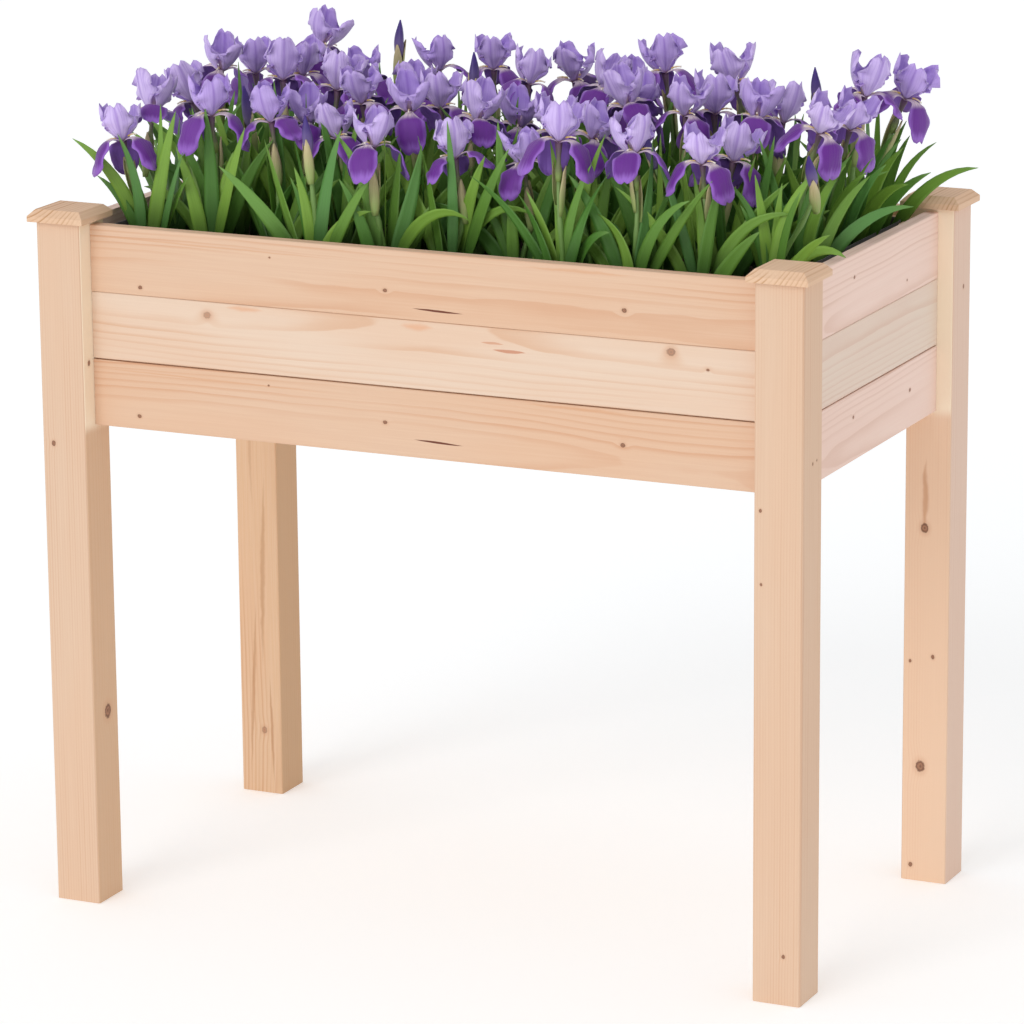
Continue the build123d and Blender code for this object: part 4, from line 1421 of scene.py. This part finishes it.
    def clears_wood(self, leaf: Shell) -> bool:
        """Tells whether a leaf passes over the walls and the caps instead of through them."""
        x, y, z = np.abs(leaf[0][:, 0]), np.abs(leaf[0][:, 1]), leaf[0][:, 2]
        (end, rim), (side, _), (cap, top) = [(low.x if low.x > 0 else -high.y, high.z) for low, high in map(
            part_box, ("board_right_upper", "board_front_upper", "cap_front_right"))]
        past_walls = (x > end - 4 * MM) | (y > side - 4 * MM)
        past_caps = (x > cap - 3 * MM) & (y > -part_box("cap_front_right")[1].y - 3 * MM)
        return not (past_walls & (z < rim + 3 * MM) | past_caps & (z < top + 3 * MM)).any()

    def build_leaves(self) -> bpy.types.Object:
        """Grows the fans of sword leaves.

        Returns:
            The leaves.
        """
        rng = np.random.default_rng(self.seed + 1)
        shape = Gathered()
        reach = max(abs(plant.foot.x) for plant in self.plants)
        deep = max(abs(plant.foot.y) for plant in self.plants)
        for plant in self.plants:
            outer = 0.0 if abs(plant.foot.x) < reach * 0.9 else math.copysign(1, plant.foot.x)
            front = plant.foot.y < -deep * 0.7
            fan = np.linspace(-1, 1, self.leaves_each) + rng.normal(0, 0.12, self.leaves_each)
            for place in fan:
                azimuth = rng.normal(0, 0.42)
                lean = place * self.fan_lean + rng.normal(0, 0.07)
                arch = place * self.fan_arch + rng.normal(0, 0.16)
                if outer:
                    toward = outer * place > 0
                    lean = lean * (0.75 if toward else 1.0)
                    arch += outer * math.radians(26 if toward else 8)
                length = self.leaf_length - 8 * MM * abs(place) + rng.normal(0, 14) * MM
                if rng.uniform() < 0.13:
                    arch += math.copysign(math.radians(rng.uniform(35, 70)), place)
                if front and rng.uniform() < 0.35:
                    length *= 0.72
                beside = place * self.fan_half_width + rng.normal(0, 2 * MM)
                foot = plant.foot + Vector((beside, rng.normal(0, 8 * MM), 0))
                half_width, twist = rng.uniform(5.2, 8.8) * MM, rng.normal(0, 0.35)
                for _ in range(11):
                    leaf = self.blade(foot, azimuth, lean, arch, length, half_width, twist)
                    if self.clears_wood(leaf):
                        break
                    lean, arch, foot = 0.7 * lean, 0.86 * arch, foot.lerp(plant.foot, 0.25)
                shape.add(leaf, tint=float(rng.uniform()))
        piece = shape.make("iris_blades", LeafFinish().material())
        log.info("%s: %d leaves", piece.name, len(self.plants) * self.leaves_each)
        return self.settle(piece, "leaf", "iris_leaves")

    def settle(self, piece: bpy.types.Object, slot: str, *nodes: str) -> bpy.types.Object:
        """Lets a piece ride with the planting and hides the CAD nodes it stands for."""
        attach(piece, PLANTING)
        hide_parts(*nodes)
        return piece

    def build_stalks(self) -> bpy.types.Object:
        """Grows the flower stalks.

        Returns:
            The stalks.
        """
        shape = Gathered()
        for plant in self.plants:
            axis = plant.tilt.to_matrix() @ Vector((0, 0, 1))
            top = plant.head - axis * (0.0 if plant.in_bud else self.radius * plant.size)
            knee = plant.foot + Vector((0, 0, 0.45 * (top.z - plant.foot.z)))
            path = bezier((plant.foot, knee, top - axis * 0.05, top), 11)
            radii = np.linspace(3.1, 2.3, 11) * MM
            radii[6] *= 1.25
            shape.add(closed_loft(tube_rings(path, radii, 8)), tint=plant.tint)
        piece = shape.make("iris_stalks", StalkFinish().material())
        log.info("%s: %d stalks", piece.name, len(self.plants))
        return self.settle(piece, "stem", "iris_stems")

    def build_heads(self) -> None:
        """Sets the blooms, the buds and their sheaths on the stalks."""
        blooms, buds, sheaths = Places(), Places(), Places()
        for plant in self.plants:
            look = (plant.tilt, plant.size, plant.form, plant.tint)
            (buds if plant.in_bud else blooms).mark(plant.head, *look)
            axis = plant.tilt.to_matrix() @ Vector((0, 0, 1))
            sheaths.mark(plant.head + axis * (34 * MM if plant.in_bud else 0.0), *look)
        pieces = (
            ("iris_standards", blooms, self.standards, StandardFinish(), "petal", "iris_blooms"),
            ("iris_falls", blooms, self.falls, FallFinish(), "petal", "iris_blooms"),
            ("iris_style_arms", blooms, self.style_arms, STYLE_ARM, "petal", "iris_blooms"),
            ("iris_beards", blooms, self.beards, BEARD, "petal", "iris_blooms"),
            ("iris_throats", blooms, self.throat, THROAT, "petal", "iris_blooms"),
            ("iris_bud_petals", buds, self.bud, BUD, "bud", "iris_buds"),
            ("iris_spathes", sheaths, self.spathes, SPATHE, "stem", "iris_stems"),
        )
        for name, places, form, finish, slot, node in pieces:
            forms = [form(variant) for variant in range(3)]
            piece = places.fill(name, forms, finish.material(), self.placing)
            self.settle(piece, slot, node)
            log.info("%s: %d places, %d faces", name, len(places.points), len(piece.data.polygons))


# ---------------------------------------------------------------- plant finishes


@dataclass(frozen=True)
class LeafFinish:
    """Sword leaves: green from yellowish to bluish, with fine parallel veins, darker at the foot."""

    young: Colour = tone(128, 170, 64)
    ripe: Colour = tone(78, 128, 48)
    cool: Colour = tone(88, 140, 68)
    foot: Colour = tone(34, 66, 22)
    tip: Colour = tone(110, 150, 70)

    def material(self) -> bpy.types.Material:
        """Builds the material."""
        material, graph, shader = start_material("iris_leaf")
        along, across, tint = graph.readings("along", "across", "tint")
        colour = graph.mix(graph.smooth(tint, 0.1, 0.75), self.ripe, self.young)
        colour = graph.mix(graph.smooth(tint, 0.88, 0.96), colour, self.cool)
        colour = graph.mix(graph.smooth(along, 0.5, 0.0), colour, self.foot)
        colour = graph.tint(graph.smooth(along, 0.75, 1.0), 0.5, colour, self.tip)
        vein = graph.noise(graph.veins(along, across, tint, (3.0, 22.0)), 1.0, 2.0)
        shade = graph.line(vein, 0.5, 0.75)
        colour = graph.mix(1.0, colour, graph.join(shade, shade, shade), "MULTIPLY")
        graph.dress(shader, colour, graph.line(vein, 0.15, 0.36), Specular_IOR_Level=0.4)
        graph.bump(shader, 0.3, 0.3 * MM, vein)
        return material


@dataclass(frozen=True)
class StalkFinish:
    """Flower stalks: pale green, greyer upwards."""

    low: Colour = tone(92, 138, 52)
    high: Colour = tone(140, 168, 104)

    def material(self) -> bpy.types.Material:
        """Builds the material."""
        material, graph, shader = start_material("iris_stalk")
        patch = graph.noise(graph.place(), 55.0, 1.0)
        colour = graph.mix(graph.readings("along")[0], self.low, self.high)
        graph.dress(shader, graph.tint(patch, 0.5, colour, self.low), 0.5)
        return material


@dataclass(frozen=True)
class StandardFinish:
    """Upright petals: pale lavender with soft veins, plum at the foot."""

    light: Colour = tone(226, 206, 252)
    deep: Colour = tone(192, 162, 238)
    vein: Colour = tone(146, 106, 204)
    foot: Colour = tone(124, 74, 120)

    def material(self) -> bpy.types.Material:
        """Builds the material."""
        material, graph, shader = start_material("iris_standard_petal")
        along, across, tint, side = graph.readings("along", "across", "tint", "side")
        lines = graph.veins(along, across, tint, (1.6, 9.0))
        vein = graph.smooth(graph.noise(lines, 1.0, 1.0, 3.0), 0.42, 0.72)
        middle = graph.smooth(graph.math("ABSOLUTE", across), 0.14, 0.0)
        cloud = graph.noise(graph.join(along, across, tint), 3.0, 4.0)
        colour = graph.mix(graph.line(tint, 0.6, graph.times(cloud, 0.4)), self.light, self.deep)
        for mask, strength in ((vein, 0.42), (middle, 0.5), (side, 0.3)):
            colour = graph.tint(mask, strength, colour, self.vein)
        colour = graph.mix(graph.smooth(along, 0.2, 0.0), colour, self.foot)
        graph.dress(shader, colour, 0.6, Sheen_Weight=0.25)
        graph.bump(shader, 0.35, 0.6 * MM, vein)
        return material


@dataclass(frozen=True)
class FallFinish:
    """Hanging petals: deep violet with a lighter rim, white veined near the foot, paler behind."""

    heart: Colour = tone(100, 20, 142)
    rim: Colour = tone(164, 112, 216)
    pale: Colour = tone(236, 220, 220)
    vein: Colour = tone(84, 26, 128)
    behind: Colour = tone(146, 106, 204)
    foot: Colour = tone(150, 110, 110)

    def material(self) -> bpy.types.Material:
        """Builds the material."""
        material, graph, shader = start_material("iris_fall_petal")
        along, across, tint, side = graph.readings("along", "across", "tint", "side")
        lines = graph.veins(along, across, tint, (2.0, 8.0))
        vein = graph.smooth(graph.noise(lines, 1.0, 1.0, 3.0), 0.4, 0.7)
        edge = graph.sum(graph.math("ABSOLUTE", across), graph.times(vein, 0.12))
        end = graph.line(vein, 0.04, along)
        rim = graph.math("MAXIMUM", graph.smooth(edge, 0.68, 1.0), graph.smooth(end, 0.86, 1.0))
        colour = graph.tint(rim, 0.9, self.heart, self.rim)
        colour = graph.tint(tint, 0.08, colour, self.rim)
        colour = graph.tint(vein, 0.2, colour, self.vein)
        striped = graph.times(graph.smooth(along, 0.5, 0.3), graph.line(vein, -0.55, 1.0))
        colour = graph.mix(striped, colour, self.pale)
        colour = graph.mix(graph.smooth(along, 0.12, 0.0), colour, self.foot)
        colour = graph.mix(graph.line(side, -0.8, 0.8), colour, self.behind)
        graph.dress(shader, colour, 0.55, Sheen_Weight=0.12)
        graph.bump(shader, 0.35, 0.6 * MM, vein)
        return material


@dataclass(frozen=True)
class SmallFinish:
    """A small part's finish: one colour at the foot, another at the tip, and soft streaks of a third."""

    name: str
    foot: Colour
    tip: Colour
    streak: Colour
    roughness: float

    def material(self) -> bpy.types.Material:
        """Builds the material."""
        material, graph, shader = start_material(self.name)
        along, across, tint = graph.readings("along", "across", "tint")
        lines = graph.veins(along, across, tint, (2.5, 7.0))
        streak = graph.smooth(graph.noise(lines, 1.0, 3.0, 3.0), 0.4, 0.75)
        colour = graph.mix(graph.smooth(along, 0.1, 0.9), self.foot, self.tip)
        graph.dress(shader, graph.tint(streak, 0.6, colour, self.streak), self.roughness)
        return material


STYLE_ARM = SmallFinish("iris_style_arm", tone(222, 200, 196), tone(190, 160, 226), tone(160, 120, 190), 0.6)
BEARD = SmallFinish("iris_beard", tone(238, 206, 120), tone(244, 236, 220), tone(214, 180, 110), 0.8)
THROAT = SmallFinish("iris_throat", tone(112, 70, 110), tone(134, 158, 84), tone(90, 62, 80), 0.55)
SPATHE = SmallFinish("iris_spathe", tone(146, 170, 96), tone(206, 190, 148), tone(160, 150, 98), 0.65)
BUD = SmallFinish("iris_bud", tone(120, 104, 150), tone(62, 34, 126), tone(44, 26, 96), 0.5)


# ---------------------------------------------------------------- studio


@dataclass
class Studio:
    """A pale floor, soft light and the camera."""

    azimuth: float = 25.162
    elevation: float = 14.330
    roll: float = -0.508
    distance: float = 5.3276
    target: tuple[float, float, float] = (0.00332, 0.0, 0.42066)
    lens: float = 174.4
    floor_size: float = 60.0
    floor_gap: float = 0.3 * MM
    floor_colour: Colour = (0.92, 0.94, 0.955, 1.0)
    floor_glow: float = 0.24
    sky: float = 0.72
    seen_sky: float = 1.0
    sun_power: float = 0.8
    sun_azimuth: float = -12.0
    sun_elevation: float = 28.0
    sun_softness: float = 35.0

    def camera(self) -> None:
        """Sets the camera up, looking at the planter from its front right corner."""
        back = heading(self.azimuth, self.elevation)
        data = bpy.data.cameras.new("camera")
        data.lens, data.sensor_width = self.lens, 36.0
        data.clip_end = 200.0
        camera = linked("camera", data)
        place = Matrix.Translation(Vector(self.target) + back * self.distance)
        turn = (-back).to_track_quat("-Z", "Y").to_matrix().to_4x4()
        camera.matrix_world = place @ turn @ Matrix.Rotation(math.radians(self.roll), 4, "Z")
        bpy.context.scene.camera = camera

    def sun(self) -> None:
        """Adds one broad soft light from the front, above the camera's left shoulder."""
        data = bpy.data.lights.new("key", "SUN")
        data.energy, data.angle = self.sun_power, math.radians(self.sun_softness)
        toward = heading(self.sun_azimuth, self.sun_elevation)
        linked("key", data).rotation_euler = toward.to_track_quat("Z", "Y").to_euler()

    def world(self) -> None:
        """Makes the white surround, which the camera sees a little brighter than it shines."""
        world = bpy.data.worlds.new("soft_sky")
        world.use_nodes = True
        graph = Graph(world.node_tree)
        background = world.node_tree.nodes["Background"].inputs
        seen = graph.add("ShaderNodeLightPath").outputs["Is Camera Ray"]
        graph.feed(background["Color"], WHITE)
        graph.feed(background["Strength"], graph.line(seen, self.seen_sky - self.sky, self.sky))
        bpy.context.scene.world = world

    def build(self) -> None:
        """Makes the floor, the lights and the camera."""
        bpy.context.scene.view_settings.view_transform = "Standard"
        self.world()
        half = self.floor_size / 2
        mesh = bpy.data.meshes.new("floor")
        corners = ((-half, -half), (half, -half), (half, half), (-half, half))
        mesh.from_pydata([(x, y, -self.floor_gap) for x, y in corners], [], [(0, 1, 2, 3)])
        material, graph, shader = start_material("pale_floor")
        graph.dress(shader, self.floor_colour, 0.9, Emission_Color=WHITE, Emission_Strength=self.floor_glow)
        mesh.materials.append(material)
        floor = linked("floor", mesh)
        self.sun()
        self.camera()
        log.info("studio ready")


def main() -> None:
    """Builds the studio, dresses the planter and plants the irises."""
    logging.basicConfig(level=logging.INFO, format="%(name)s: %(message)s")
    Studio().build()
    timber = Timber(WoodGroups(grain_group(), knot_group(), streak_group()))
    timber.legs()
    timber.caps()
    timber.boards()
    timber.inner_frame()
    placing = placing_tree()
    Fasteners(placing).build()
    bag = Bag(scatter_tree())
    bag.build_liner()
    bag.build_medium()
    bed = IrisBed(placing)
    bed.survey()
    bed.build_leaves()
    bed.build_stalks()
    bed.build_heads()


if __name__ == "__main__":
    main()
